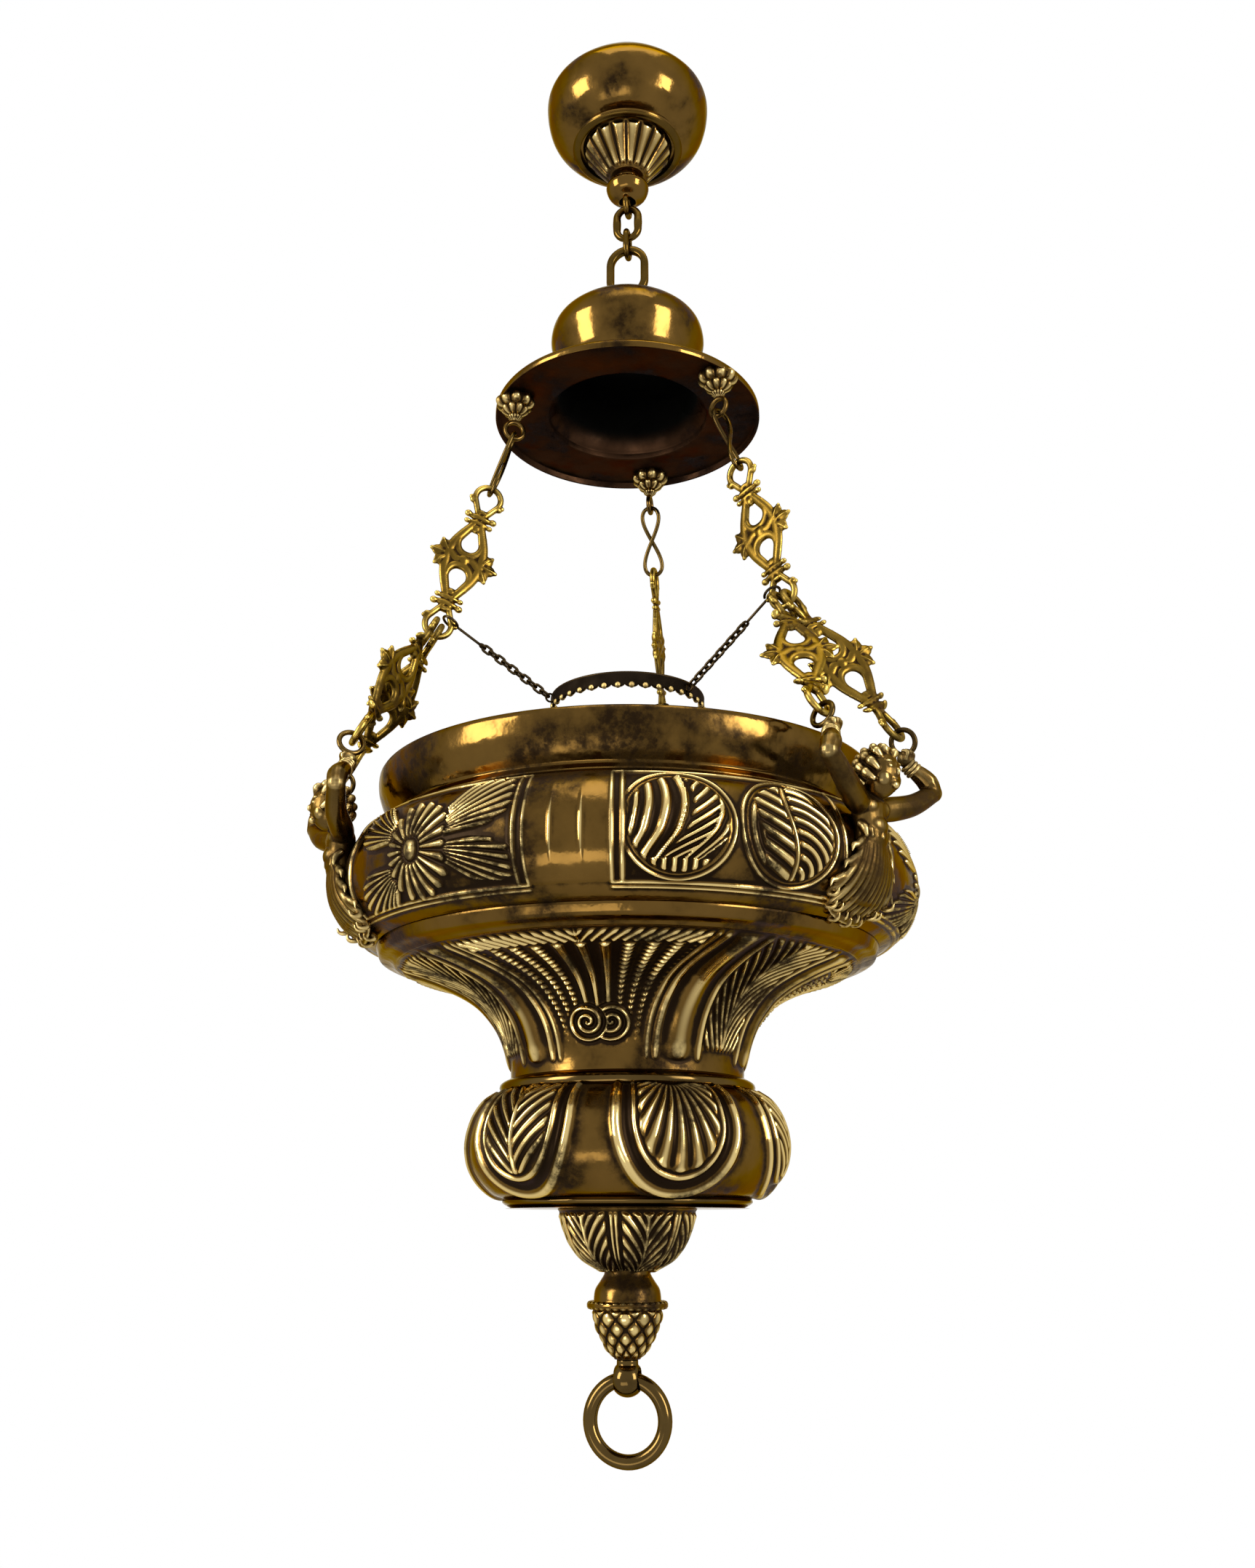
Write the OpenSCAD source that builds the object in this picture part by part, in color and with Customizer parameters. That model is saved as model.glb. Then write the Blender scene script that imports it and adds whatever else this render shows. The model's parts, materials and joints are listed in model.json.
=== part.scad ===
// Hanging sanctuary oil lamp in repousse brass.
// The origin is at the ceiling, +Z is up, and the axis of the lamp is the Z axis.
// Everything hangs: each height is worked out from the piece that carries it.

/* [Ceiling rose] */
// Largest radius of the rose
rose_r = 58; // [45:1:80]
// Height of the rose
rose_h = 52; // [40:1:80]
// Sheet thickness of the rose
rose_wall = 1.5; // [1:0.1:3]
// Radius of the plate that is screwed to the ceiling
plate_r = 44; // [38:1:44]
// Thickness of the ceiling plate
plate_t = 3; // [2:0.5:4]
// Distance between the two ceiling screws
screw_spacing = 60; // [50:1:70]
// Radius of the ceiling screw holes
screw_hole_r = 2.5; // [2:0.1:4]
// Radius of the threaded hanger stem
stem_r = 4; // [3:0.5:6]
// Height of the fluted cone under the rose
cone_h = 24; // [16:1:40]
// Radius of the fluted cone at its top
cone_r = 34; // [28:1:36]
// Radius of the fluted cone at its tip
cone_tip_r = 13; // [10:1:18]
// Flutes round the cone
flutes = 18; // [12:1:24]
// Radius of the turned knob
knob_r = 15; // [13:1:20]
// Height of the turned knob
knob_h = 21; // [16:1:30]

/* [Suspension links] */
// Wire radius of the eyes that carry the links
eye_wire_r = 2; // [1.5:0.1:2.5]
// Middle radius of those eyes
eye_r = 7; // [6.5:0.5:9]
// Outer length of the top link
top_link_len = 30; // [26:1:40]
// Outer width of the top link
top_link_w = 20; // [18:1:26]
// Wire radius of the top link
top_link_wire = 2.4; // [2:0.1:2.6]
// Outer length of the small middle link
mid_link_len = 24; // [22:1:34]
// Outer width of the small middle link
mid_link_w = 16; // [15:1:22]
// Wire radius of the small middle link
mid_link_wire = 2; // [1.6:0.1:2.4]
// Outer length of the large hook link
hook_link_len = 43; // [40:1:60]
// Outer width of the large hook link
hook_link_w = 30; // [26:1:40]
// Wire radius of the large hook link
hook_link_wire = 2.8; // [2.2:0.1:3.2]
// Free play where one link hangs in the next
link_play = 0.4; // [0.3:0.1:0.6]

/* [Cap] */
// Radius of the bun dome
dome_r = 52.5; // [46:0.5:60]
// Height of the cap from the dome top to the brim edge
cap_h = 90; // [80:1:110]
// Radius of the brim
brim_r = 89; // [85:1:100]
// Radius of the neck between dome and brim
cap_neck_r = 47; // [42:0.5:52]
// Sheet thickness of the cap
cap_wall = 1.6; // [1.2:0.1:2.5]
// Distance of the rosettes from the axis
rosette_ring_r = 78; // [74:1:82]
// Radius of a rosette
rosette_r = 9; // [7:0.5:11]
// Radius of a rosette's stud
stud_r = 2; // [1.5:0.1:2.5]

/* [Chains] */
// First chain's angle from +X
chain_turn = 90; // [0:1:119]
// Length of a wire figure-eight, contact to contact
eight_len = 49; // [40:1:56]
// Outer width of a wire figure-eight
eight_w = 15; // [13:0.5:18]
// Wire radius of a figure-eight
eight_wire = 1.4; // [1.2:0.1:1.6]
// Length of an openwork link, contact to contact
link_len = 112; // [100:1:130]
// Half width of an openwork link over its leaves
link_half_w = 19; // [17:0.5:24]
// Thickness of an openwork link
link_t = 4; // [3:0.1:4.4]
// Bar width of an openwork link
bar_w = 3.6; // [3:0.1:4.2]
// Outer width of the eyes of an openwork link
link_eye_w = 20; // [19:0.5:22]
// Outer length of the eyes of an openwork link
link_eye_len = 27; // [25:0.5:32]
// Lean of the upper links from the vertical
upper_lean = 17.6; // [14:0.1:22]
// Lean of the lower links from the vertical
lower_lean = 28; // [22:0.5:32]
// Half distance between the hands of one putto
hand_half = 36; // [32:0.5:40]
// Gap between the two lower links in one eye
pair_gap = 0.5; // [0.4:0.1:0.8]
// Wire radius of the rings in the hands
hand_ring_wire = 1.5; // [1.2:0.1:1.8]
// Middle radius of the rings in the hands
hand_ring_r = 7; // [6.5:0.5:9]
// Free play where the lower links hang on the hand rings
hand_play = 1.2; // [1.1:0.05:1.3]

/* [Glass ring] */
// Outer radius of the ring that holds the glass
ring_r = 48.5; // [46:0.5:54]
// Height of the ring band
ring_h = 10; // [8:0.5:14]
// Thickness of the ring band
ring_wall = 1.6; // [1.2:0.1:2.4]
// Drop from the eyes of the chains to the top of the ring
ring_drop = 27; // [24:0.5:34]
// Wire radius of the fine chains
fine_wire = 0.7; // [0.6:0.05:0.9]
// Outer length of a fine link
fine_len = 8; // [7:0.5:10]
// Outer width of a fine link
fine_w = 5.4; // [5:0.1:7]
// Play between fine links
fine_play = 0.25; // [0.2:0.05:0.4]
// Radius of the loops at the ends of a fine chain's hook
hook_loop_r = 5.2; // [4.6:0.1:5.5]

/* [Bowl] */
// Height of the rim above the centre of the hands
rim_rise = 0; // [-3:0.5:3]
// Radius of the rim
rim_r = 152.5; // [148:0.5:158]
// Height of the rim with its bead
rim_h = 35; // [30:0.5:40]
// Radius of the neck under the rim
bowl_neck_r = 143.5; // [140:0.5:147]
// Largest radius of the belly
belly_r = 172; // [168:0.5:176]
// Height of the belly
belly_h = 69.5; // [64:0.5:76]
// Radius of the belly at its bottom edge
belly_foot_r = 149; // [146:0.5:152]
// Height of the smooth moulding under the belly
moulding_h = 10; // [8:0.5:14]
// Radius of the funnel at its top
funnel_top_r = 137; // [134:0.5:140]
// Height of the funnel
funnel_h = 65; // [58:0.5:74]
// Radius of the funnel at its waist
funnel_waist_r = 68; // [64:0.5:72]
// Sheet thickness of the bowl
bowl_wall = 2; // [1.6:0.1:3]

/* [Lower knob and finial] */
// Height of the ring between funnel and knob
collar_h = 8; // [6:0.5:12]
// Radius of that ring
collar_r = 74.6; // [71:0.2:78]
// Height of the lower knob
bulb_h = 58; // [52:0.5:66]
// Largest radius of the lower knob
bulb_r = 91.6; // [86:0.2:96]
// Radius of the base plate under the knob
base_r = 71.3; // [68:0.2:76]
// Height of the base plate
base_h = 5.5; // [4:0.5:8]
// Radius of the leaf cup at its top
cup_r = 40; // [36:0.5:46]
// Height of the leaf cup
cup_h = 32; // [28:0.5:38]
// Radius at the foot of the leaf cup
cup_foot_r = 14; // [12:0.5:17]
// Height of the acorn
acorn_h = 48; // [42:0.5:56]
// Radius of the acorn's body
acorn_r = 19; // [16:0.5:22]
// Radius of the notched collar round the acorn
acorn_collar_r = 22.8; // [20:0.2:25]
// Radius of the ball that carries the pull ring
ball_r = 9.5; // [9:0.1:11]
// Middle radius of the pull ring
pull_r = 21; // [19:0.5:26]
// Wire radius of the pull ring
pull_wire = 4; // [3.4:0.1:4.2]
// Play of the pull ring in its hole
pull_play = 0.4; // [0.3:0.05:0.6]

/* [Inside] */
// Radius of the tie rod
rod_r = 4; // [3:0.5:5]
// Radial play of the tie rod in its holes
rod_play = 0.15; // [0.1:0.05:0.3]
// Thickness of the bridge plate
bridge_t = 3.5; // [3:0.5:5]
// Radius of the oil glass at its foot
glass_r = 33; // [28:0.5:35]
// Height of the oil glass
glass_h = 70; // [55:1:78]
// Wall of the oil glass
glass_wall = 2.5; // [2:0.1:4]
// Play of the oil glass in its seat
seat_play = 0.4; // [0.3:0.1:0.8]
// Radius of the wick tube
wick_tube_r = 3.2; // [2.6:0.1:4.5]
// Radius of the wick
wick_r = 1.8; // [1.2:0.1:2]

/* [Putti] */
// Radius of a putto's head
head_r = 12; // [10:0.5:14]
// Thickness of the raised arms at the elbow
arm_r = 5; // [4:0.2:6]
// Radius of the fists
fist_r = 6; // [5:0.2:6.5]

/* [Hidden] */
$fn = 64;
SIDES = ["back", "left", "right"];

// Colours as the photograph shows them
gold = "goldenrod";
dark_brass = "darkgoldenrod";
patina = "sienna";

// Heights of the ceiling rose
stem_nut_h = 5;
stem_nut_r = 7.5;
stem_play = 0.15;
rose_floor_z = -rose_h;
rose_floor_r = 30;
ring_wire = 2.6;
ring_mid_r = 37;
cone_z = rose_floor_z - rose_wall;
knob_z = cone_z - cone_h;
knob_foot_z = knob_z - knob_h;
hanger_eye_z = knob_foot_z - 3;

// Heights of the suspension: each link's top wire lies inside the loop above it
function hang(loop_z, loop_wire, wire) = loop_z + loop_wire + wire + link_play;
hanger_low_z = hanger_eye_z - eye_r;
top_link_z = hang(hanger_low_z, eye_wire_r, top_link_wire);
top_link_low_z = top_link_z - top_link_len + 2 * top_link_wire;
mid_link_z = hang(top_link_low_z, top_link_wire, mid_link_wire);
mid_link_low_z = mid_link_z - mid_link_len + 2 * mid_link_wire;
hook_link_z = hang(mid_link_low_z, mid_link_wire, hook_link_wire);
hook_link_low_z = hook_link_z - hook_link_len + 2 * hook_link_wire;
cap_eye_top_z = hang(hook_link_low_z, hook_link_wire, eye_wire_r);
cap_eye_z = cap_eye_top_z - eye_r;

// Heights of the cap
eye_collar_h = 2.5;
eye_collar_r = 8;
dome_z = cap_eye_z - eye_r - eye_wire_r - eye_collar_h + 1.5;
brim_z = dome_z - cap_h;
eye_stem_r = 3;
cap_nut_h = 4.5;
cap_nut_r = 7;

// Rosettes and chains, in the plane of each chain: distance from the axis, then height
rosette_h = 17;
rosette_eye_r = 6;
rosette_wire = 1.6;
rosette_nut_h = 3;
rosette_nut_r = 4;
seat_z = brim_z + 4;
rosette_eye_z = seat_z - rosette_h - rosette_eye_r - 1;
rosette_low_z = rosette_eye_z - rosette_eye_r;
chain_top_z = rosette_low_z + rosette_wire + eight_wire + link_play;
up = [sin(upper_lean), -cos(upper_lean)];
low = [sin(lower_lean), -cos(lower_lean)];
chain_top = [rosette_ring_r, chain_top_z];
eight_end = chain_top + eight_len * up;
eight_in = eight_w / 2 - 2 * eight_wire;
eight_nest = eight_in - sqrt(eight_in * eight_in - link_t * link_t / 4);
upper_top = eight_end - (eight_wire + bar_w / 2 + link_play + eight_nest) * up;
chain_mid = upper_top + link_len * up;
splay = asin(hand_half / link_len);
knot_drop = link_eye_len - 3;
knot_y = link_len / 2 - knot_drop;
waist_y = 10.5;
knot_half = bar_w * 0.9;
eye_tip_drop = 4;
eye_tip = 0.6;
link_eye_in = link_eye_w / 2 - bar_w;
pair_half = link_t + pair_gap / 2;
pair_shift = 1.1;
pair_nest = link_eye_in - sqrt(link_eye_in * link_eye_in - pair_half * pair_half)
    + pair_half * sin(lower_lean - upper_lean) + link_t * sin(splay) + pair_gap;
lower_top = chain_mid - (bar_w + link_play + pair_nest) * low;
lower_end = lower_top + link_len * cos(splay) * low;

// Heights of the bowl
rim_z = lower_end[1] + rim_rise;
belly_z = rim_z - rim_h;
moulding_z = belly_z - belly_h;
funnel_z = moulding_z - moulding_h;
collar_z = funnel_z - funnel_h;
bulb_z = collar_z - collar_h;
base_z = bulb_z - bulb_h;
cup_z = base_z - base_h;
acorn_z = cup_z - cup_h;
acorn_foot_z = acorn_z - acorn_h;
acorn_foot_r = 7;
ball_neck_h = 1.5;
ball_z = acorn_foot_z - ball_neck_h - ball_r * 0.9;

// Glass ring and fine chains
ring_z = chain_mid[1] - ring_drop;
ring_eye_r = 2.6;
ring_inner_r = ring_r - ring_wall;
fine_hook_min = 18;
fist_drop = 3.5;
hook_slack = 0.6;
hook_seat = 13;
eye_mid = link_eye_w / 2 - bar_w / 2;
eye_outer = mix(link_eye_w / 2, knot_half, (hook_seat - eye_mid) / (knot_drop - eye_mid));
eye_inner = mix(link_eye_in, eye_tip, (hook_seat - eye_mid) / (knot_drop - eye_tip_drop - eye_mid));
fine_start = chain_mid - hook_seat * up + ((eye_outer + eye_inner) / 2 + hook_slack) * [up[1], -up[0]];
ring_eye = [ring_r + ring_eye_r - 0.3, ring_z - ring_h / 2];
fine_end = ring_eye + (ring_eye_r - 2 * fine_wire - fine_play) * unit(fine_start - ring_eye);

// Bridge plate and oil glass
bridge_r = funnel_top_r - bowl_wall - 1.5;
plate_play = 0.3;
ledge_r = bridge_r + plate_play;
moulding_lip = 0.5;
moulding_wall = 5;
ledge_wall = 4.3;
bridge_z = funnel_z;
bridge_top_z = bridge_z + bridge_t;
rod_nut_h = 6;
rod_nut_r = 8;
stand_h = rod_nut_h + 3;
foot_play = 0.3;
stand_wall = 3;
stand_lip = 4;
glass_foot_z = bridge_top_z + stand_h + foot_play;
glass_foot_t = 4;
glass_flare = 3;
wick_foot_r = 18;
wick_foot_t = 2;
wick_tube_h = glass_h - glass_foot_t - 8;
wick_proud = 4;
tube_play = 0.2;

// A value part way from a to b
function mix(a, b, t) = a + (b - a) * t;
// A smooth curve through a few points
function spline_point(a, b, c, d, t) =
    0.5 * (2 * b + (c - a) * t + (2 * a - 5 * b + 4 * c - d) * t * t + (3 * b - a - 3 * c + d) * t * t * t);
function smooth(p, n = 4) = concat(
    [for (i = [0 : len(p) - 2])
        for (k = [0 : n - 1])
            spline_point(p[max(i - 1, 0)], p[i], p[i + 1], p[min(i + 2, len(p) - 1)], k / n)],
    [p[len(p) - 1]]
);
// The same curve one sheet thickness further in, with level ends
function unit(v) = v / norm(v);
function inner_point(p, i, wall) =
    i == 0 ? p[0] - [wall, 0] :
    i == len(p) - 1 ? p[i] - [wall, 0] :
    let (d = unit(p[i + 1] - p[i - 1]), q = p[i] + wall * [d[1], -d[0]])
    [q[0], min(p[0][1], max(p[len(p) - 1][1], q[1]))];
function inner(p, wall) = [for (i = [len(p) - 1 : -1 : 0]) inner_point(p, i, wall)];

// A spun sheet shell, drawn from the top down at height z; level measures its wall along the radius
module shell(points, z, wall, n = 4, level = false) {
    curve = smooth(points, n);
    level_inner = [for (i = [len(curve) - 1 : -1 : 0]) curve[i] - [wall, 0]];
    translate([0, 0, z])
        rotate_extrude($fn = 128)
            polygon(concat(curve, level ? level_inner : inner(curve, wall)));
}

// A solid turned piece, drawn from the top down at height z
module turned(points, z, n = 4) {
    translate([0, 0, z])
        rotate_extrude($fn = 96)
            polygon(concat([[0, points[0][1]]], smooth(points, n), [[0, points[len(points) - 1][1]]]));
}

// A closed ring of round wire in the XZ plane
module wire_ring(r, wire) {
    rotate([90, 0, 0])
        rotate_extrude()
            translate([r, 0])
                circle(wire);
}

// An oval link of round wire in the XZ plane, hanging from its top wire at the origin
module oval_link(length, width, wire) {
    r = width / 2 - wire;
    straight = length - width;
    for (end = [0, 1])
        translate([0, 0, -r - end * straight])
            rotate([90, end * 180, 0])
                rotate_extrude(angle = 180)
                    translate([r, 0])
                        circle(wire);
    for (side = [-1, 1])
        translate([side * r, 0, -r - straight])
            cylinder(h = straight, r = wire);
}

// Puts a piece drawn with +X outward at one chain's angle
module at_chain(i) {
    rotate([0, 0, chain_turn + 120 * i])
        children();
}

// Puts a piece that hangs along -Z at a point of the chain plane, leaning outward
module hung(point, lean) {
    translate([point[0], 0, point[1]])
        rotate([0, -lean, 0])
            children();
}

module hex_nut(r, h, hole_r) {
    difference() {
        cylinder(h = h, r = r, $fn = 6);
        translate([0, 0, -1])
            cylinder(h = h + 2, r = hole_r);
    }
}

module ceiling_plate() {
    color(dark_brass)
        difference() {
            translate([0, 0, -plate_t])
                cylinder(h = plate_t, r = plate_r);
            for (side = [-1, 1])
                translate([side * screw_spacing / 2, 0, -plate_t - 1])
                    cylinder(h = plate_t + 2, r = screw_hole_r);
            translate([0, 0, -plate_t - 1])
                cylinder(h = plate_t + 2, r = stem_r + stem_play);
        }
}

module hanger_stem() {
    color(dark_brass)
        translate([0, 0, knob_z - knob_h / 2])
            cylinder(h = -knob_z + knob_h / 2, r = stem_r);
}

module stem_nut() {
    color(dark_brass)
        translate([0, 0, -plate_t - stem_nut_h])
            hex_nut(stem_nut_r, stem_nut_h, stem_r + stem_play);
}

module ceiling_rose() {
    color(gold)
        difference() {
            union() {
                shell([[plate_r + rose_wall + 0.5, 0], [rose_r - 1.5, -rose_h * 0.24],
                       [rose_r, -rose_h * 0.46],
                       [rose_r * 0.94, -rose_h * 0.74], [rose_r * 0.78, -rose_h * 0.94],
                       [rose_r * 0.62, -rose_h]], 0, rose_wall);
                translate([0, 0, rose_floor_z])
                    cylinder(h = rose_wall, r = rose_r * 0.62 - 0.2);
            }
            translate([0, 0, rose_floor_z - 1])
                cylinder(h = rose_wall + 2, r = stem_r + stem_play);
        }
}

module rose_ring() {
    color(gold)
        translate([0, 0, rose_floor_z - rose_wall])
            difference() {
                turned([[ring_mid_r, rose_wall], [ring_mid_r + ring_wire, 0], [ring_mid_r, -rose_wall]], 0);
                translate([0, 0, -rose_wall - 1])
                    cylinder(h = 2 * rose_wall + 2, r = cone_r);
            }
}

module fluted_cone() {
    flute_depth = 1.6;
    color(dark_brass)
        translate([0, 0, knob_z])
            difference() {
                mirror([0, 0, 1])
                    translate([0, 0, -cone_h - rose_wall])
                        linear_extrude(height = cone_h + rose_wall, scale = cone_tip_r / cone_r)
                            polygon([for (a = [0 : 3 : 357])
                                (cone_r - 0.2 - flute_depth + flute_depth * abs(sin(a * flutes / 2)))
                                * [cos(a), sin(a)]]);
                translate([0, 0, -1])
                    cylinder(h = cone_h + rose_wall + 2, r = stem_r + stem_play);
            }
}

module rose_knob() {
    color(gold)
        difference() {
            union() {
                turned([[knob_r * 0.6, 0], [knob_r * 0.55, -knob_h * 0.14], [knob_r * 0.95, -knob_h * 0.34],
                        [knob_r, -knob_h * 0.5], [knob_r * 0.85, -knob_h * 0.74],
                        [knob_r * 0.5, -knob_h * 0.9],
                        [knob_r * 0.4, -knob_h]], knob_z);
                translate([0, 0, hanger_eye_z])
                    rotate([0, 0, 90])
                        wire_ring(eye_r, eye_wire_r);
            }
            translate([0, 0, knob_z - knob_h / 2])
                cylinder(h = knob_h, r = stem_r + stem_play);
        }
}

module top_link() {
    color(gold)
        translate([0, 0, top_link_z])
            oval_link(top_link_len, top_link_w, top_link_wire);
}

module mid_link() {
    color(gold)
        translate([0, 0, mid_link_z])
            rotate([0, 0, 90])
                oval_link(mid_link_len, mid_link_w, mid_link_wire);
}

module hook_link() {
    color(gold)
        translate([0, 0, hook_link_z])
            oval_link(hook_link_len, hook_link_w, hook_link_wire);
}

module rosette_holes() {
    for (i = [0 : 2])
        at_chain(i)
            translate([rosette_ring_r, 0, seat_z - 10])
                cylinder(h = 40, r = stud_r + stem_play);
}

module cap_shell() {
    flat = 23;
    color(gold)
        difference() {
            union() {
                shell([[eye_collar_r + 1, 0], [dome_r * 0.62, -cap_h * 0.05], [dome_r * 0.92, -cap_h * 0.17],
                       [dome_r, -cap_h * 0.3], [dome_r * 0.96, -cap_h * 0.43], [cap_neck_r, -cap_h * 0.56],
                       [cap_neck_r + 0.5, -cap_h * 0.7], [cap_neck_r + 3, -cap_h * 0.82],
                       [rosette_ring_r - flat, seat_z - dome_z + cap_wall + 2.5]], dome_z, cap_wall);
                turned([[eye_collar_r + 1, 0], [eye_collar_r + 1, -cap_wall * 1.6]], dome_z);
                translate([0, 0, seat_z])
                    rotate_extrude($fn = 128)
                        polygon([[rosette_ring_r - flat - cap_wall, 0],
                                 [rosette_ring_r - flat - cap_wall, cap_wall + 2.5],
                                 [rosette_ring_r - flat, cap_wall + 2.5],
                                 [rosette_ring_r - flat + 3, cap_wall],
                                 [brim_r - 1, cap_wall], [brim_r, 0], [brim_r, brim_z - seat_z],
                                 [brim_r - cap_wall, brim_z - seat_z], [brim_r - cap_wall, 0]]);
            }
            rosette_holes();
            translate([0, 0, dome_z - cap_h / 2])
                cylinder(h = cap_h, r = eye_stem_r + stem_play);
        }
}

module cap_eye() {
    color(gold) {
        translate([0, 0, cap_eye_z])
            rotate([0, 0, 90])
                wire_ring(eye_r, eye_wire_r);
        difference() {
            translate([0, 0, dome_z])
                cylinder(h = eye_collar_h + 1, r = eye_collar_r - 2);
            translate([0, 0, cap_eye_z])
                rotate([0, 90, 0])
                    cylinder(h = 4 * eye_r, r = eye_r - eye_wire_r / 2, center = true);
        }
        translate([0, 0, dome_z - cap_nut_h - 6])
            cylinder(h = cap_nut_h + 7, r = eye_stem_r);
    }
}

module cap_nut() {
    color(dark_brass)
        translate([0, 0, dome_z - cap_wall * 1.6 - cap_nut_h])
            hex_nut(cap_nut_r, cap_nut_h, eye_stem_r + stem_play);
}

// A flower cup on the underside of the brim, with the eye that carries one chain
module rosette(i) {
    color(gold)
        at_chain(i)
            translate([rosette_ring_r, 0, 0]) {
                turned([[rosette_r, seat_z], [rosette_r * 0.9, seat_z - rosette_h * 0.35],
                        [rosette_r * 0.45, seat_z - rosette_h * 0.7],
                        [rosette_wire * 1.6, seat_z - rosette_h - 1]], 0);
                translate([0, 0, seat_z - 0.5])
                    cylinder(h = cap_wall + rosette_nut_h + 1.5, r = stud_r);
                translate([0, 0, rosette_eye_z])
                    wire_ring(rosette_eye_r, rosette_wire);
            }
}

module rosette_nuts() {
    color(dark_brass)
        for (i = [0 : 2])
            at_chain(i)
                translate([rosette_ring_r, 0, seat_z + cap_wall])
                    hex_nut(rosette_nut_r, rosette_nut_h, stud_r + stem_play);
}

// A wire figure-eight, flat to the tangent of the lamp
module figure_eight(i) {
    wire_d = 2 * eight_wire;
    loop_len = (eight_len + 2 * wire_d) / 2;
    color(dark_brass)
        at_chain(i)
            hung(chain_top, upper_lean)
                rotate([0, 0, 90])
                    for (k = [0, 1])
                        translate([0, 0, -k * (loop_len - wire_d)])
                            oval_link(loop_len, eight_w, eight_wire);
}

// An openwork link hangs along -Z from the middle of its top eye's bar at the origin
// A flat piece of a link, cut from plate in the XZ plane
module link_plate() {
    rotate([90, 0, 0])
        translate([0, -link_len / 2, -link_t / 2])
            linear_extrude(height = link_t)
                children();
}

// One end of a link: a long eye with a round end, drawn toward +Y
module link_eye() {
    round_y = link_len / 2 + bar_w / 2 - link_eye_w / 2;
    difference() {
        union() {
            translate([0, round_y])
                circle(link_eye_w / 2);
            polygon([[-link_eye_w / 2, round_y], [link_eye_w / 2, round_y],
                     [knot_half, knot_y], [-knot_half, knot_y]]);
        }
        translate([0, round_y])
            circle(link_eye_in);
        polygon([[-link_eye_in, round_y], [link_eye_in, round_y],
                 [eye_tip, knot_y + eye_tip_drop], [-eye_tip, knot_y + eye_tip_drop]]);
    }
}

// The bar on one side, from knot to knot round the open middle
module link_bar() {
    outer_x = link_half_w * 0.7;
    inner_x = outer_x - bar_w;
    polygon([[-0.5, knot_y], [bar_w * 0.9, knot_y + 1], [outer_x - 0.2, waist_y], [outer_x, 0],
             [outer_x - 0.2, -waist_y], [bar_w * 0.9, -knot_y - 1], [-0.5, -knot_y],
             [inner_x, -waist_y * 0.8], [inner_x, waist_y * 0.8]]);
}

module openwork_link() {
    union() {
        for (end = [0, 180])
            link_plate()
                rotate(end)
                    link_eye();
        for (side = [0, 1])
            link_plate()
                mirror([side, 0])
                    link_bar();
        for (end = [-1, 1])
            link_plate()
                translate([0, end * knot_y])
                    circle(bar_w * 1.1);
        // Knops beside the knots
        for (end = [-1, 1])
            for (side = [-1, 1])
                link_plate()
                    translate([side * bar_w * 1.7, end * (knot_y - 1)])
                        circle(bar_w * 0.9);
        // Crossbar and side leaves
        link_plate()
            square([link_half_w * 1.3, bar_w * 1.3], center = true);
        for (side = [-1, 1]) {
            link_plate()
                translate([side * (link_half_w - bar_w), 0])
                    circle(bar_w);
            for (end = [-1, 1])
                link_plate()
                    translate([side * (link_half_w - 1.6 * bar_w), end * 1.4 * bar_w])
                        circle(bar_w * 0.8);
        }
    }
}

module upper_link(i) {
    color(gold)
        at_chain(i)
            hung(upper_top, upper_lean)
                openwork_link();
}

// One of the pair of lower links: side is the hand that holds it
module lower_link(i, side) {
    color(gold)
        at_chain(i)
            hung(lower_top, lower_lean)
                translate([side * (link_t + pair_gap) / 2 + pair_shift, 0, 0])
                    rotate([side * splay, 0, 0])
                        rotate([0, 0, 90])
                            openwork_link();
}

// The wire rings in the two fists, one for each lower link
module hand_rings(i) {
    color(dark_brass)
        at_chain(i)
            hung(lower_top, lower_lean)
                for (side = [-1, 1])
                    translate([side * (link_t + pair_gap) / 2 + pair_shift, 0, 0])
                        rotate([side * splay, 0, 0])
                            translate([0, 0, -link_len + bar_w / 2 + hand_ring_wire + hand_play - hand_ring_r])
                                wire_ring(hand_ring_r, hand_ring_wire);
}

module glass_ring() {
    color(patina) {
        difference() {
            translate([0, 0, ring_z - ring_h])
                cylinder(h = ring_h, r = ring_r);
            translate([0, 0, ring_z - ring_h - 1])
                cylinder(h = ring_h + 2, r = ring_inner_r);
        }
        for (i = [0 : 2])
            at_chain(i)
                translate([ring_eye[0], 0, ring_eye[1]])
                    wire_ring(ring_eye_r, fine_wire);
    }
}

// A fine chain: a long hook on the upper link's eye, then small links down to the glass ring
module fine_chain(i) {
    run = norm(fine_end - fine_start);
    lean = atan2(fine_start[0] - fine_end[0], fine_start[1] - fine_end[1]);
    pitch = fine_len - 4 * fine_wire - fine_play;
    link_count = 2 * floor((run - fine_hook_min) / pitch / 2);
    hook_len = run + 5 * fine_wire + fine_play - fine_len - (link_count - 1) * pitch;
    color(patina)
        at_chain(i)
            hung(fine_start, -lean) {
                fine_hook(hook_len);
                for (k = [0 : link_count - 1])
                    translate([0, 0, -hook_len + 3 * fine_wire + fine_play - k * pitch])
                        rotate([0, 0, k % 2 == 0 ? 0 : 90])
                            oval_link(fine_len, fine_w, fine_wire);
            }
}

module fine_hook(length) {
    rotate([0, 0, 90]) {
        wire_ring(hook_loop_r, fine_wire);
        translate([0, 0, -length + fine_w / 2])
            wire_ring(fine_w / 2 - fine_wire, fine_wire);
        translate([0, 0, -length + fine_w - fine_wire])
            cylinder(h = length - fine_w + fine_wire - hook_loop_r, r = fine_wire);
    }
}

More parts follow.
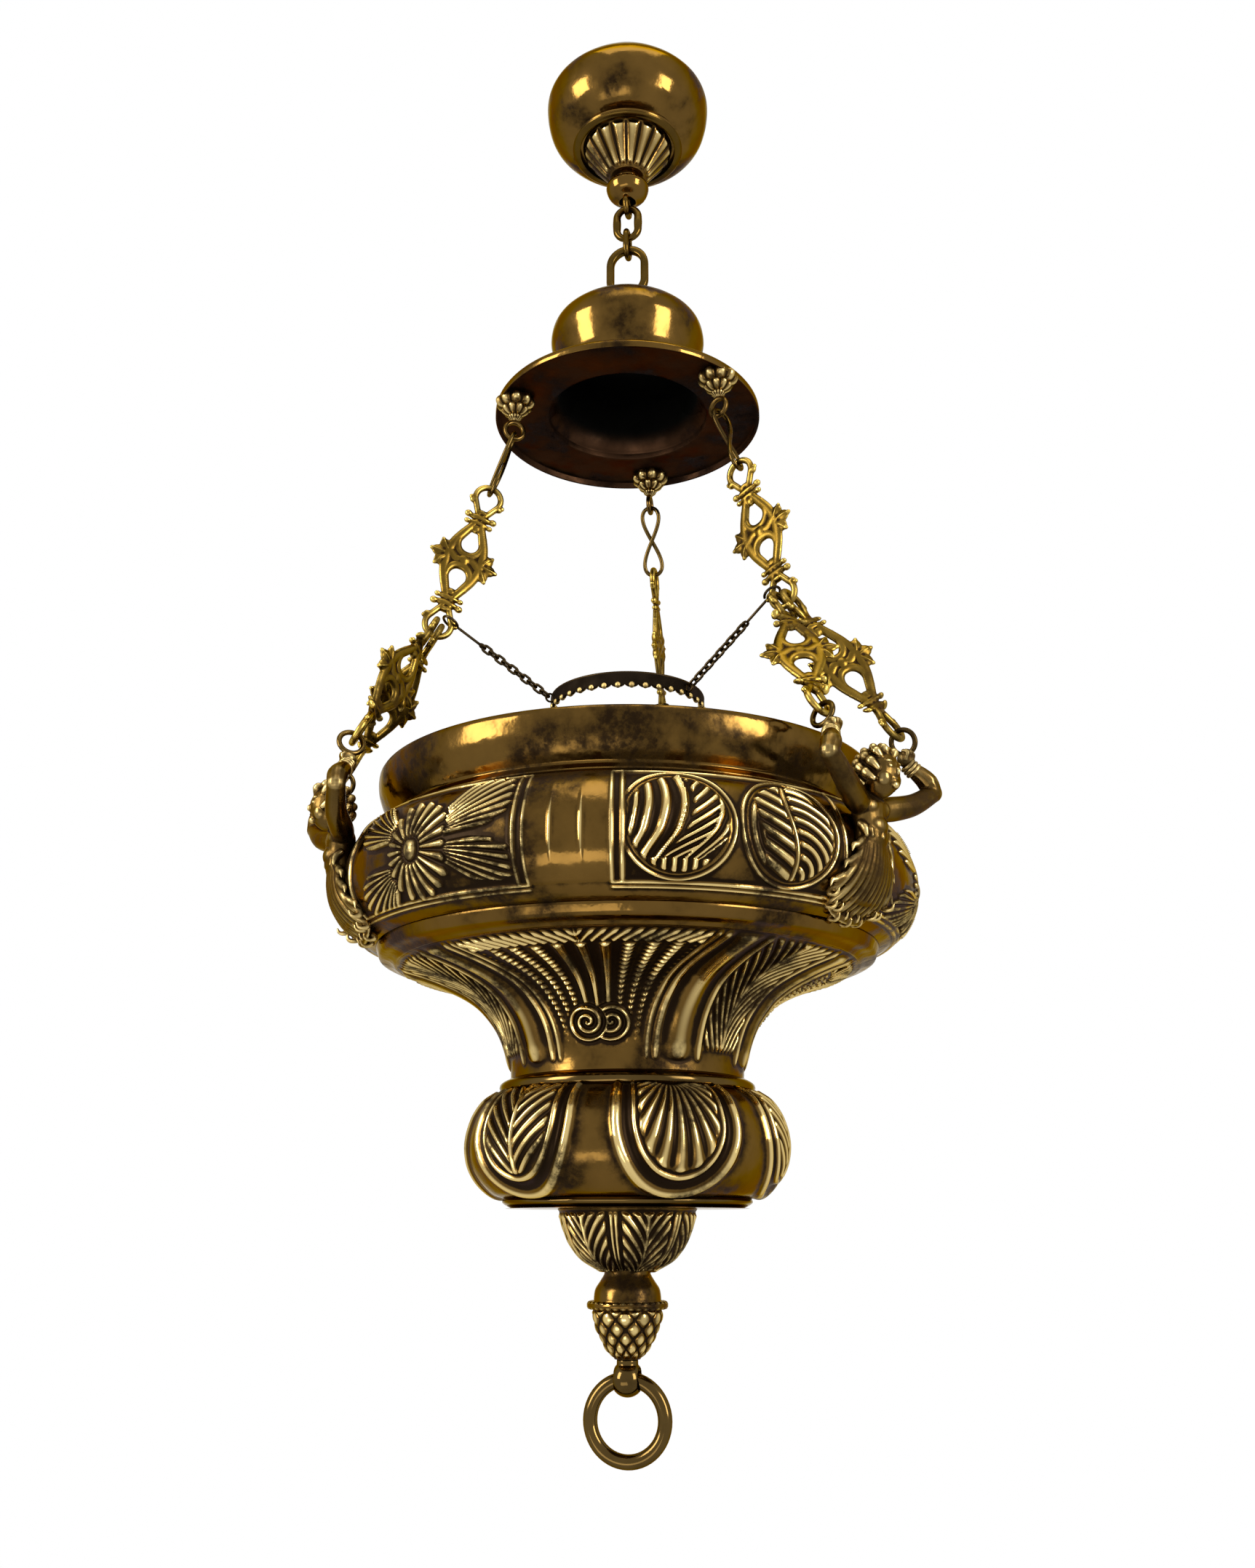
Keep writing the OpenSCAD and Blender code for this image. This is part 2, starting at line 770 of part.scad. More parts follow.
module bowl_rim() {
    color(gold)
        shell([[rim_r - 3, 0], [rim_r - 0.6, -1], [rim_r, -6.5], [rim_r - 1.2, -13.5], [rim_r - 4.6, -21.5],
               [bowl_neck_r, -rim_h + 7], [bowl_neck_r - 0.5, -rim_h + 5], [bowl_neck_r + 2.5, -rim_h + 2],
               [bowl_neck_r + 1.5, -rim_h]], rim_z, bowl_wall, level = true);
}

module bowl_belly() {
    color(gold)
        shell([[bowl_neck_r + 2.5, 0], [bowl_neck_r + 12, -belly_h * 0.05], [belly_r - 8.5, -belly_h * 0.15],
               [belly_r - 3, -belly_h * 0.3], [belly_r, -belly_h * 0.45], [belly_r, -belly_h * 0.61],
               [belly_r - 3, -belly_h * 0.75], [belly_r - 9, -belly_h * 0.87],
               [belly_foot_r + 6, -belly_h * 0.96],
               [belly_foot_r, -belly_h]], belly_z, bowl_wall);
}

module belly_moulding() {
    color(gold)
        translate([0, 0, moulding_z])
            rotate_extrude($fn = 128)
                polygon(concat(
                    smooth([for (k = [[0, 0], [0.13, 0.4], [0.26, 0.65], [0.74, 0.8], [1, 1]])
                        [max(ledge_r + ledge_wall,
                             mix(belly_foot_r + moulding_lip, funnel_top_r + 2 * moulding_lip, k[0])),
                         -moulding_h * k[1]]]),
                    [[ledge_r, -moulding_h], [ledge_r, bridge_t + plate_play - moulding_h],
                     [belly_foot_r - moulding_wall, 0]]));
}

module funnel() {
    color(gold)
        shell([[funnel_top_r, 0], [funnel_top_r - 11, -2.5], [funnel_top_r - 25, -7],
               [funnel_top_r - 39, -13],
               [funnel_waist_r + 20, -19.5], [funnel_waist_r + 12.5, -27.5],
               [funnel_waist_r + 7, -funnel_h * 0.55],
               [funnel_waist_r + 3, -funnel_h * 0.7], [funnel_waist_r + 0.7, -funnel_h * 0.85],
               [funnel_waist_r, -funnel_h]], funnel_z, bowl_wall + 2);
}

module neck_collar() {
    color(gold)
        translate([0, 0, collar_z])
            rotate_extrude($fn = 128)
                polygon(concat(
                    smooth([[funnel_waist_r + 1, 0], [collar_r - 1.1, -collar_h * 0.3],
                            [collar_r, -collar_h * 0.6],
                            [collar_r - 1.1, -collar_h]]),
                    [[funnel_waist_r - 5, -collar_h], [funnel_waist_r - 5, 0]]));
}

module lower_knob() {
    color(gold)
        shell([[collar_r - 1.5, 0], [bulb_r - 14.6, -bulb_h * 0.035], [bulb_r - 8.6, -bulb_h * 0.11],
               [bulb_r - 3.6, -bulb_h * 0.24], [bulb_r - 0.6, -bulb_h * 0.4], [bulb_r, -bulb_h * 0.55],
               [bulb_r - 2.1, -bulb_h * 0.71], [bulb_r - 7.1, -bulb_h * 0.85],
               [bulb_r - 14.6, -bulb_h * 0.965],
               [base_r - 1, -bulb_h]], bulb_z, bowl_wall);
}

module rod_hole(z, h) {
    translate([0, 0, z])
        cylinder(h = h, r = rod_r + rod_play);
}

module base_plate() {
    color(gold)
        difference() {
            turned([[base_r - 0.5, 0], [base_r, -base_h * 0.45], [base_r - 4, -base_h * 0.9],
                    [base_r - 6, -base_h]], base_z);
            rod_hole(base_z - base_h - 1, base_h + 2);
        }
}

module leaf_cup() {
    color(gold)
        difference() {
            union() {
                shell([[cup_r, 0], [cup_r - 2.5, -cup_h * 0.13], [cup_r - 4.5, -cup_h * 0.32],
                       [cup_r - 7.5, -cup_h * 0.54], [cup_r - 11, -cup_h * 0.7],
                       [cup_r - 15.5, -cup_h * 0.84],
                       [cup_foot_r + 1, -cup_h]], cup_z, bowl_wall);
                translate([0, 0, cup_z - cup_h])
                    cylinder(h = bowl_wall * 1.5, r = cup_foot_r);
            }
            rod_hole(cup_z - cup_h - 1, cup_h);
        }
}

module acorn_finial() {
    rod_depth = acorn_h * 0.6;
    collar_top = acorn_h * 0.385;
    collar_low = acorn_h * 0.43;
    color(gold)
        difference() {
            union() {
                turned([[cup_foot_r - 0.5, 0], [cup_foot_r - 1, -acorn_h * 0.06],
                        [acorn_r * 0.82, -acorn_h * 0.15],
                        [acorn_r * 0.97, -acorn_h * 0.25], [acorn_r, -collar_low],
                        [acorn_r * 0.95, -acorn_h * 0.56],
                        [acorn_r * 0.83, -acorn_h * 0.69], [acorn_r * 0.68, -acorn_h * 0.81],
                        [acorn_r * 0.5, -acorn_h * 0.92], [acorn_foot_r, -acorn_h]], acorn_z);
                translate([0, 0, acorn_z - collar_low])
                    cylinder(h = collar_low - collar_top, r = acorn_collar_r);
            }
            rod_hole(acorn_z - rod_depth, rod_depth + 1);
        }
}

// The ball has a hole that opens out both ways, so that the pull ring can swing
module ring_ball() {
    hole_r = pull_wire + pull_play;
    flare = pull_r - sqrt(pull_r * pull_r - ball_r * ball_r);
    color(gold)
        difference() {
            union() {
                translate([0, 0, ball_z])
                    sphere(ball_r);
                translate([0, 0, ball_z])
                    cylinder(h = acorn_foot_z - ball_z, r = acorn_foot_r - 1);
            }
            for (side = [-1, 1])
                translate([0, 0, ball_z])
                    rotate([0, side * 90, 0])
                        translate([0, 0, -0.2])
                            cylinder(h = ball_r + 1, r1 = hole_r, r2 = hole_r + flare + 0.6);
        }
}

module pull_ring() {
    color(gold)
        translate([0, 0, ball_z - pull_r])
            wire_ring(pull_r, pull_wire);
}

module tie_rod() {
    foot = acorn_z - acorn_h * 0.55;
    color(dark_brass)
        translate([0, 0, foot])
            cylinder(h = bridge_top_z + rod_nut_h + 1 - foot, r = rod_r);
}

module rod_nut() {
    color(dark_brass)
        translate([0, 0, bridge_top_z])
            hex_nut(rod_nut_r, rod_nut_h, rod_r + rod_play);
}

// A plate across the bowl that takes the pull of the tie rod, with the stand for the oil glass
module bridge_plate() {
    stand_r = glass_r + seat_play + stand_wall;
    color(dark_brass)
        difference() {
            union() {
                translate([0, 0, bridge_z])
                    cylinder(h = bridge_t, r = bridge_r, $fn = 128);
                translate([0, 0, bridge_top_z - 0.5])
                    cylinder(h = stand_h + stand_lip + 0.5, r = stand_r);
            }
            translate([0, 0, bridge_top_z])
                cylinder(h = stand_h + stand_lip + 1, r = glass_r - 4);
            translate([0, 0, glass_foot_z - foot_play])
                cylinder(h = stand_lip + 1, r = glass_r + seat_play);
            rod_hole(bridge_z - 1, bridge_t + 2);
        }
}

module oil_glass() {
    color("lightblue", 0.5)
        translate([0, 0, glass_foot_z])
            rotate_extrude($fn = 96)
                polygon([[0, 0], [glass_r, 0], [glass_r, stand_lip + 2], [glass_r + glass_flare, glass_h],
                         [glass_r + glass_flare - glass_wall, glass_h], [glass_r - glass_wall, stand_lip + 2],
                         [glass_r - glass_wall, glass_foot_t], [0, glass_foot_t]]);
}

module wick_tube() {
    color(dark_brass)
        translate([0, 0, glass_foot_z + glass_foot_t])
            difference() {
                union() {
                    cylinder(h = wick_foot_t, r = wick_foot_r);
                    cylinder(h = wick_tube_h, r = wick_tube_r);
                }
                translate([0, 0, wick_foot_t])
                    cylinder(h = wick_tube_h, r = wick_r + tube_play);
            }
}

module wick() {
    color("ivory")
        translate([0, 0, glass_foot_z + glass_foot_t + wick_foot_t])
            cylinder(h = wick_tube_h - wick_foot_t + wick_proud, r = wick_r);
}

// A limb or trunk between two round ends
module limb(a, ra, b, rb) {
    hull() {
        translate(a)
            sphere(ra, $fn = 20);
        translate(b)
            sphere(rb, $fn = 20);
    }
}

// A putto: half figure with raised arms, ending in a skirt of leaves on the belly
module putto(i) {
    fist = lower_end + (hand_ring_r + fist_drop) * low;
    head = [belly_r + 8, 0, belly_z + 8];
    chest = [belly_r + 2, 0, belly_z - 6];
    waist = [belly_r - 1, 0, belly_z - 17];
    hip = [belly_r + 4, 0, belly_z - belly_h * 0.47];
    foot = [belly_r - 2, 0, belly_z - belly_h * 0.84];
    toe = [belly_foot_r + 8, 0, moulding_z - 2];
    color(gold)
        at_chain(i)
            difference() {
                union() {
                    limb(head, head_r, head + [-1, 0, 2], head_r - 1);
                    limb(head - [2, 0, 6], 6, chest, 11);
                    limb(chest, 11, waist, 8);
                    for (side = [-1, 1]) {
                        shoulder = chest + [0, side * 11, 3];
                        elbow = [belly_r + 12, side * (hand_half + 16), belly_z + 7];
                        limb(shoulder, arm_r + 1, elbow, arm_r);
                        limb(elbow, arm_r, [fist[0], side * hand_half, fist[1]], fist_r);
                        limb(waist, 7, hip + [0, side * 13, 0], 9);
                        limb(hip + [0, side * 13, 0], 9, foot + [0, side * 12, 0], 7);
                    }
                    limb(hip, 10, foot, 8);
                    limb(foot, 8, toe, 4.5);
                }
                belly_block();
            }
}

// What the back of a putto is hollowed to: the rim, belly and moulding with a soldering gap
module belly_block() {
    gap = 0.25;
    outline = [[0, rim_h - 1], [rim_r, rim_h], [rim_r, rim_h - 13.5], [bowl_neck_r + 2.5, 2],
               [bowl_neck_r + 12, -belly_h * 0.05],
               [belly_r - 8.5, -belly_h * 0.15], [belly_r - 3, -belly_h * 0.3], [belly_r, -belly_h * 0.45],
               [belly_r, -belly_h * 0.61], [belly_r - 3, -belly_h * 0.75], [belly_r - 9, -belly_h * 0.87],
               [belly_foot_r + 6, -belly_h * 0.96], [belly_foot_r + 0.5, -belly_h],
               [belly_foot_r - 1, -belly_h - moulding_h * 0.4], [0, -belly_h - moulding_h]];
    curve = smooth(outline, 3);
    translate([0, 0, belly_z])
        rotate_extrude($fn = 180)
            polygon([for (p = curve) [max(0, p[0] + gap), p[1]]]);
}

ceiling_plate();
hanger_stem();
stem_nut();
ceiling_rose();
rose_ring();
fluted_cone();
rose_knob();
top_link();
mid_link();
hook_link();
cap_shell();
cap_eye();
cap_nut();
rosette_nuts();
rosette(0);  // rosette_back
rosette(1);  // rosette_left
rosette(2);  // rosette_right
figure_eight(0);  // figure_eight_back
figure_eight(1);  // figure_eight_left
figure_eight(2);  // figure_eight_right
upper_link(0);  // upper_link_back
upper_link(1);  // upper_link_left
upper_link(2);  // upper_link_right
lower_link(0, -1);  // lower_link_a_back
lower_link(1, -1);  // lower_link_a_left
lower_link(2, -1);  // lower_link_a_right
lower_link(0, 1);  // lower_link_b_back
lower_link(1, 1);  // lower_link_b_left
lower_link(2, 1);  // lower_link_b_right
putto(0);  // putto_back
putto(1);  // putto_left
putto(2);  // putto_right
hand_rings(0);  // hand_rings_back
hand_rings(1);  // hand_rings_left
hand_rings(2);  // hand_rings_right
glass_ring();
fine_chain(0);  // fine_chain_back
fine_chain(1);  // fine_chain_left
fine_chain(2);  // fine_chain_right
bowl_rim();
bowl_belly();
belly_moulding();
funnel();
neck_collar();
lower_knob();
base_plate();
leaf_cup();
acorn_finial();
ring_ball();
pull_ring();
tie_rod();
rod_nut();
bridge_plate();
oil_glass();
wick_tube();
wick();
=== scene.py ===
"""A hanging brass oil lamp: chased sheet, cast links and figures, materials, light and camera."""
import json
import math

import bpy
import numpy as np
from mathutils import Matrix, Vector


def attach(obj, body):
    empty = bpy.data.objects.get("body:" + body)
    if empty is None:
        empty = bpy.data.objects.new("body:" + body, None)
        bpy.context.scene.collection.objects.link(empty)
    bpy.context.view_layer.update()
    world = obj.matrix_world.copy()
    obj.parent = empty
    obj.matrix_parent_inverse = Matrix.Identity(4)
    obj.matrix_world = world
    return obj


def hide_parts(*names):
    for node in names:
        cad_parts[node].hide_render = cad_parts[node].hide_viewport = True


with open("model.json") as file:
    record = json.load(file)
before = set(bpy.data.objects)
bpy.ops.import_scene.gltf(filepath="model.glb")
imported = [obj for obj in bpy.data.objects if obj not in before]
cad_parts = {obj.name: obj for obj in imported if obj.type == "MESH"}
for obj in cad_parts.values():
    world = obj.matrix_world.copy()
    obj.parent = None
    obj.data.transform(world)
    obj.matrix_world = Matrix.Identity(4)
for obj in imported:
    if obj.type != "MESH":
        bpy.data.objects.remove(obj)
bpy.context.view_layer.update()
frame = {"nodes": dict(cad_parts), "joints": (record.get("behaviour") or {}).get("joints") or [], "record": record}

MM = 0.001
NODES = frame["nodes"]
JOINTS = {joint["name"]: joint for joint in frame["joints"]}
# Angle of each chain about the lamp's axis, in degrees
SIDES = {"back": 90.0, "left": 210.0, "right": 330.0}
SECTOR = 120.0
# The middle between the two front chains
FRONT = 270.0


# Mesh helpers

# Points between two given points of a smooth curve
SPLINE_STEPS = 12
# Angle of a ball's first ring from its pole
POLE = 0.02
# Rounding of a wire's open end: its length and last radius, in radii
END_LENGTH = 0.7
END_RADIUS = 0.02


def in_scene(name, data):
    """A new object in the scene, for a mesh, a light or a camera."""
    thing = bpy.data.objects.new(name, data)
    bpy.context.scene.collection.objects.link(thing)
    return thing


def turn_by(degrees, axis):
    """A turn about one of the axes."""
    return Matrix.Rotation(math.radians(degrees), 4, axis)


def new_object(name, shape, body, slot, material, *replaced):
    """Puts a mesh or a heap in the scene as a piece of the lamp; replaced are the CAD nodes it stands for."""
    mesh = shape.mesh(name) if isinstance(shape, Heap) else shape
    mesh.materials.append(material)
    piece = in_scene(name, mesh)
    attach(piece, body)
    if replaced:
        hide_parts(*replaced)


def grid_faces(rows, columns, rows_close):
    """Corner numbers of the quads of a grid of points whose columns go round."""
    last_row = rows if rows_close else rows - 1
    row, column = np.meshgrid(np.arange(last_row), np.arange(columns), indexing="ij")
    next_row = (row + 1) % rows
    next_column = (column + 1) % columns
    corners = (row * columns + column, next_row * columns + column,
               next_row * columns + next_column, row * columns + next_column)
    return np.stack(corners, axis=-1).reshape(-1, 4)


def flat(values, kind=np.float32):
    """All values in one row, as Blender takes them."""
    return np.ascontiguousarray(values, dtype=kind).ravel()


def quad_mesh(name, points, faces, relief):
    """A smooth mesh of quads, with the relief of each point kept for the materials."""
    mesh = bpy.data.meshes.new(name)
    mesh.vertices.add(len(points))
    mesh.vertices.foreach_set("co", flat(points))
    mesh.loops.add(faces.size)
    mesh.loops.foreach_set("vertex_index", flat(faces, np.int32))
    mesh.polygons.add(len(faces))
    mesh.polygons.foreach_set("loop_start", np.arange(0, faces.size, 4, dtype=np.int32))
    mesh.polygons.foreach_set("use_smooth", np.ones(len(faces), dtype=bool))
    mesh.update(calc_edges=True)
    mesh.validate()
    mesh.attributes.new("relief", "FLOAT", "POINT").data.foreach_set("value", flat(relief))
    return mesh


class Heap:
    """Gathers several closed grids into one mesh."""

    def __init__(self):
        self.points = []
        self.faces = []
        self.relief = []
        self.count = 0

    def add(self, points, faces, relief=None):
        self.points.append(points)
        self.faces.append(faces + self.count)
        self.relief.append(np.zeros(len(points)) if relief is None else relief)
        self.count += len(points)

    def placed(self, matrix):
        """The same heap, moved."""
        other = Heap()
        turn = np.array(matrix.to_3x3())
        shift = np.array(matrix.translation)
        other.points = [points @ turn.T + shift for points in self.points]
        other.faces = list(self.faces)
        other.relief = list(self.relief)
        other.count = self.count
        return other

    def scaled(self, factor):
        return self.placed(Matrix.Scale(factor, 4))

    def mesh(self, name):
        return quad_mesh(name, np.concatenate(self.points), np.concatenate(self.faces),
                         np.concatenate(self.relief))


def blurred(heights, row_reach, column_reach):
    """Mean of a height map over a box; columns go round."""
    padded = np.pad(heights, ((row_reach, row_reach), (0, 0)), mode="edge")
    padded = np.pad(padded, ((0, 0), (column_reach, column_reach)), mode="wrap")
    for axis, reach in ((0, row_reach), (1, column_reach)):
        total = np.insert(np.cumsum(padded, axis=axis), 0, 0.0, axis=axis)
        width = 2 * reach + 1
        high = np.take(total, np.arange(width, total.shape[axis]), axis=axis)
        low = np.take(total, np.arange(0, total.shape[axis] - width), axis=axis)
        padded = (high - low) / width
    return padded


def smooth_step(low, high, x):
    """Zero at low to one at high, with soft ends."""
    t = np.clip((x - low) / (high - low), 0.0, 1.0)
    return t * t * (3 - 2 * t)


def window(x, rise, full, still, gone):
    """One from full to still, zero before rise and after gone."""
    return smooth_step(rise, full, x) * smooth_step(gone, still, x)


def ridge(distance, width):
    """A rounded ridge along distance zero."""
    return np.exp(-(distance / width) ** 2)


def wave(phase):
    """Zero to one and back once a turn of phase, highest at whole numbers."""
    return 0.5 + 0.5 * np.cos(2 * np.pi * phase)


def circle(count):
    """Evenly spaced angles once round."""
    return np.linspace(0, 2 * np.pi, count, endpoint=False)


def about_axis(radius, angle, height):
    """Points at radii and heights, turned about Z by angles."""
    points = np.stack((radius * np.cos(angle), radius * np.sin(angle), height + 0 * angle), axis=-1)
    return points.reshape(-1, 3)


def spline(points, count):
    """Evenly spaced points on a smooth curve through a few points."""
    p = np.asarray(points, dtype=float)
    ends = np.vstack((2 * p[0] - p[1], p, 2 * p[-1] - p[-2]))
    fine = []
    for i in range(len(p) - 1):
        a, b, c, d = ends[i:i + 4]
        t = np.linspace(0, 1, SPLINE_STEPS, endpoint=False)[:, None]
        fine.append(0.5 * (2 * b + (c - a) * t + (2 * a - 5 * b + 4 * c - d) * t ** 2
                           + (3 * b - a - 3 * c + d) * t ** 3))
    fine.append(p[-1:])
    return even(np.vstack(fine), count)


def even(path, count):
    """The same path with evenly spaced points."""
    length = np.concatenate(([0], np.cumsum(np.linalg.norm(np.diff(path, axis=0), axis=1))))
    where = np.linspace(0, length[-1], count)
    return np.stack([np.interp(where, length, path[:, k]) for k in range(path.shape[1])], axis=1)


def spread(values, count):
    """A few values, spread evenly over many points."""
    return np.interp(np.linspace(0, 1, count), np.linspace(0, 1, len(values)), values)


def tube(heap, path, radius, closed=False, sides=12, square=1.0, relief=0.0):
    """A wire along a path; square below 1 gives it flat faces. Open ends are rounded."""
    path = np.asarray(path, dtype=float)
    radii = np.broadcast_to(np.asarray(radius, dtype=float), len(path))
    if closed:
        along = np.roll(path, -1, axis=0) - np.roll(path, 1, axis=0)
    else:
        along = np.gradient(path, axis=0)
        start = path[0] - along[0] / np.linalg.norm(along[0]) * radii[0] * END_LENGTH
        end = path[-1] + along[-1] / np.linalg.norm(along[-1]) * radii[-1] * END_LENGTH
        path = np.vstack((start, path, end))
        along = np.vstack((along[0], along, along[-1]))
        radii = np.concatenate(([radii[0] * END_RADIUS], radii, [radii[-1] * END_RADIUS]))
    along = along / np.linalg.norm(along, axis=1)[:, None]
    # One fixed direction keeps the section from turning; it lies across most of the path
    spread = np.linalg.svd(path - path.mean(axis=0))[2][-1]
    first_axis = np.cross(spread, along)
    first_axis /= np.maximum(np.linalg.norm(first_axis, axis=1), 1e-9)[:, None]
    second_axis = np.cross(along, first_axis)
    angle = circle(sides)
    first = np.sign(np.cos(angle)) * np.abs(np.cos(angle)) ** square
    second = np.sign(np.sin(angle)) * np.abs(np.sin(angle)) ** square
    ring = first[None, :, None] * first_axis[:, None, :] + second[None, :, None] * second_axis[:, None, :]
    points = path[:, None, :] + ring * radii[:, None, None]
    shade = np.repeat(np.broadcast_to(relief, len(path)), sides)
    heap.add(points.reshape(-1, 3), grid_faces(len(path), sides, closed), shade)


def ball(heap, centre, radii, rows=12, columns=18, turn=None, relief=0.0):
    """An ellipsoid; turn is a 3x3 matrix."""
    polar = np.linspace(POLE, np.pi - POLE, rows)[:, None]
    points = about_axis(np.sin(polar), circle(columns)[None, :], np.cos(polar))
    points = points * np.asarray(radii if np.ndim(radii) else (radii,) * 3)
    if turn is not None:
        points = points @ np.array(turn).T
    heap.add(points + np.asarray(centre), grid_faces(rows, columns, False), np.full(len(points), relief))


# Turned pieces

SHARP = math.radians(28)
BEVEL = 0.25 * MM
PLAIN_SPACING = 1.5 * MM
# Points nearer than this are one
SAME = 1e-6
# Least length of a run that may be chased, as a share of the longest
LONG_RUN = 0.5
# Most of a run that the bevels at its ends take
MOST_BEVEL = 0.2
TRIM_STEPS = 1000
# Slope up to which a surface counts as level
LEVEL = 0.3


def profile(node):
    """The closed section of a turned CAD node at angle zero, as radius and height."""
    mesh = NODES[node].data
    places = {}
    for vertex in mesh.vertices:
        x, y, z = vertex.co
        if abs(y) < 2 * SAME and x > -1e-9:
            places[vertex.index] = (round(x, 6), round(z, 6))
    following = {}
    for face in mesh.polygons:
        out = Vector((face.normal.x, face.normal.z))
        for a, b in face.edge_keys:
            if a in places and b in places and places[a] != places[b]:
                start, end = places[a], places[b]
                side = Vector((start[1] - end[1], end[0] - start[0]))
                if side.dot(out) < 0:
                    start, end = end, start
                following[start] = end
    chains = []
    starts = set(following) - set(following.values())
    while following:
        place = starts.pop() if starts else next(iter(following))
        chain = [place]
        while place in following:
            place = following.pop(place)
            chain.append(place)
        chains.append(chain)
    loop = chains.pop(0)
    while chains:
        nearest = min(chains, key=lambda chain: math.dist(chain[0], loop[-1]))
        chains.remove(nearest)
        loop += nearest
    points = [loop[0]]
    for place in loop[1:]:
        if math.dist(place, points[-1]) > SAME:
            points.append(place)
    if math.dist(points[0], points[-1]) < SAME:
        points.pop()
    return np.array(points)


def smooth_runs(loop):
    """The loop cut at its sharp corners into smooth runs."""
    before = loop - np.roll(loop, 1, axis=0)
    after = np.roll(loop, -1, axis=0) - loop
    aside = before[:, 0] * after[:, 1] - before[:, 1] * after[:, 0]
    turn = np.abs(np.arctan2(aside, (before * after).sum(axis=1)))
    corners = np.flatnonzero(turn > SHARP)
    if len(corners) == 0:
        return [np.vstack((loop, loop[:1]))]
    runs = []
    for start, end in zip(corners, np.roll(corners, -1)):
        span = (end - start) % len(loop) or len(loop)
        runs.append(loop[(start + np.arange(span + 1)) % len(loop)])
    return runs


def fine_curve(loop, spacing, chased=1):
    """The loop as closely spaced points with small bevels, and the number of its chased run at each point.

    The chased runs are the widest of the long ones, numbered from 1; zero is none."""
    runs = smooth_runs(loop)
    lengths = [np.linalg.norm(np.diff(run, axis=0), axis=1).sum() for run in runs]
    long_runs = [i for i in range(len(runs)) if lengths[i] > LONG_RUN * max(lengths)]
    widest = sorted(long_runs, key=lambda i: -runs[i][:, 0].mean())[:chased]
    curve = []
    number = []
    for i, run in enumerate(runs):
        count = max(2, int(lengths[i] / (spacing if i in widest else max(spacing, PLAIN_SPACING))))
        points = spline(run, count) if len(run) > 2 else even(run, count)
        trim = int(min(BEVEL / lengths[i], MOST_BEVEL) * TRIM_STEPS)
        ends = even(points, TRIM_STEPS + 1)
        points[0] = ends[trim]
        points[-1] = ends[TRIM_STEPS - trim]
        curve.append(points)
        number.append(np.full(count, widest.index(i) + 1 if i in widest else 0))
    return np.vstack(curve), np.concatenate(number)


def revolved(curve, columns, heights):
    """Points of a closed curve turned about the axis, pushed out along the curve's normal by heights."""
    along = np.roll(curve, -1, axis=0) - np.roll(curve, 1, axis=0)
    along = along / np.maximum(np.linalg.norm(along, axis=1), 1e-12)[:, None]
    radius = curve[:, :1] - along[:, 1:] * heights
    height = curve[:, 1:] + along[:, :1] * heights
    return about_axis(radius, circle(columns)[None, :], height)


# Reach in millimetres and weight of the means against which a chased surface stands out
SHADE_REACH = ((2.5, 1.0), (9.0, 0.5))


def chase(curve, columns, spacing, relief):
    """Heights of a chased pattern along one run, in metres, and how far each point stands out, in mm."""
    steps = np.linalg.norm(np.diff(curve, axis=0), axis=1)
    arc = np.concatenate(([0], np.cumsum(steps)))[:, None] / MM
    angle = np.linspace(0, 360, columns, endpoint=False)[None, :]
    raised = relief(angle, arc, arc[-1, 0], curve[:, :1] / MM)
    around = 2 * np.pi * curve[:, 0].mean() / MM / columns
    shade = np.zeros_like(raised)
    for reach, weight in SHADE_REACH:
        near = blurred(raised, max(1, int(reach * MM / spacing)), max(1, int(reach / around)))
        shade += weight * (raised - near)
    return raised * MM, shade


def turned(node, body, slot, material, columns=192, spacing=PLAIN_SPACING, reliefs=(), lining=None):
    """A turned CAD node again in fine mesh, with chased patterns on its outside and its own lining inside."""
    curve, number = fine_curve(profile(node), spacing, max(1, len(reliefs)))
    heights = np.zeros((len(curve), columns))
    shade = np.zeros_like(heights)
    for k, relief in enumerate(reliefs):
        run = number == k + 1
        heights[run], shade[run] = chase(curve[run], columns, spacing, relief)
    name = node + "_turned"
    faces = grid_faces(len(curve), columns, True)
    mesh = quad_mesh(name, revolved(curve, columns, heights), faces, shade)
    new_object(name, mesh, body, slot, material, node)
    if lining is not None:
        mesh.materials.append(lining)
        along = np.roll(curve, -1, axis=0) - np.roll(curve, 1, axis=0)
        level = np.abs(along[:, 1]) < LEVEL * np.abs(along[:, 0])
        inward = (along[:, 1] > 0) | ((along[:, 0] < 0) & level)
        mesh.polygons.foreach_set("material_index", np.repeat(inward.astype(np.int32), columns))


# Chased patterns: angle in degrees, arc in millimetres from the top of the piece, height in millimetres

# Belly, in one sector from the left putto's angle: flower panel, strap, leaf panel, in degrees
STRAP = (54.0, 69.5)
FLOWER_AT = 31.0
MEDALLIONS_AT = (80.5, 101.5)
PANEL_ENDS = (8.5, 113.6)
# Top and bottom of the panels, as shares of the belly's height
PANEL = (0.15, 0.84)
# Half width and half height of a medallion, and how far the flower lies below the middle, in millimetres
MEDALLION = (29.5, 31.0)
FLOWER_DROP = 5.0
# Millimetres along the belly for each degree
PER_DEGREE = 2.97


def from_middle(angle, at, step):
    """Degrees from the middle of the nearest field; one lies at an angle, and they repeat every step."""
    return (angle - at + step / 2) % step - step / 2


def leaf_veins(across, along, count):
    """Veins that leave a midrib and rise outward; across runs from -1 to 1, along from 0 at the foot to 1."""
    phase = count * (along - 0.42 * np.abs(across) ** 0.8)
    return wave(phase) * smooth_step(0.03, 0.12, np.abs(across)) + 1.3 * ridge(across, 0.07)


def shell_fan(angle, distance, count, reach):
    """Flutes of a shell that open from one point; angle in radians from upright."""
    return (0.35 + 0.65 * wave(angle * count / np.pi)) * smooth_step(0.08, 0.3, distance / reach)


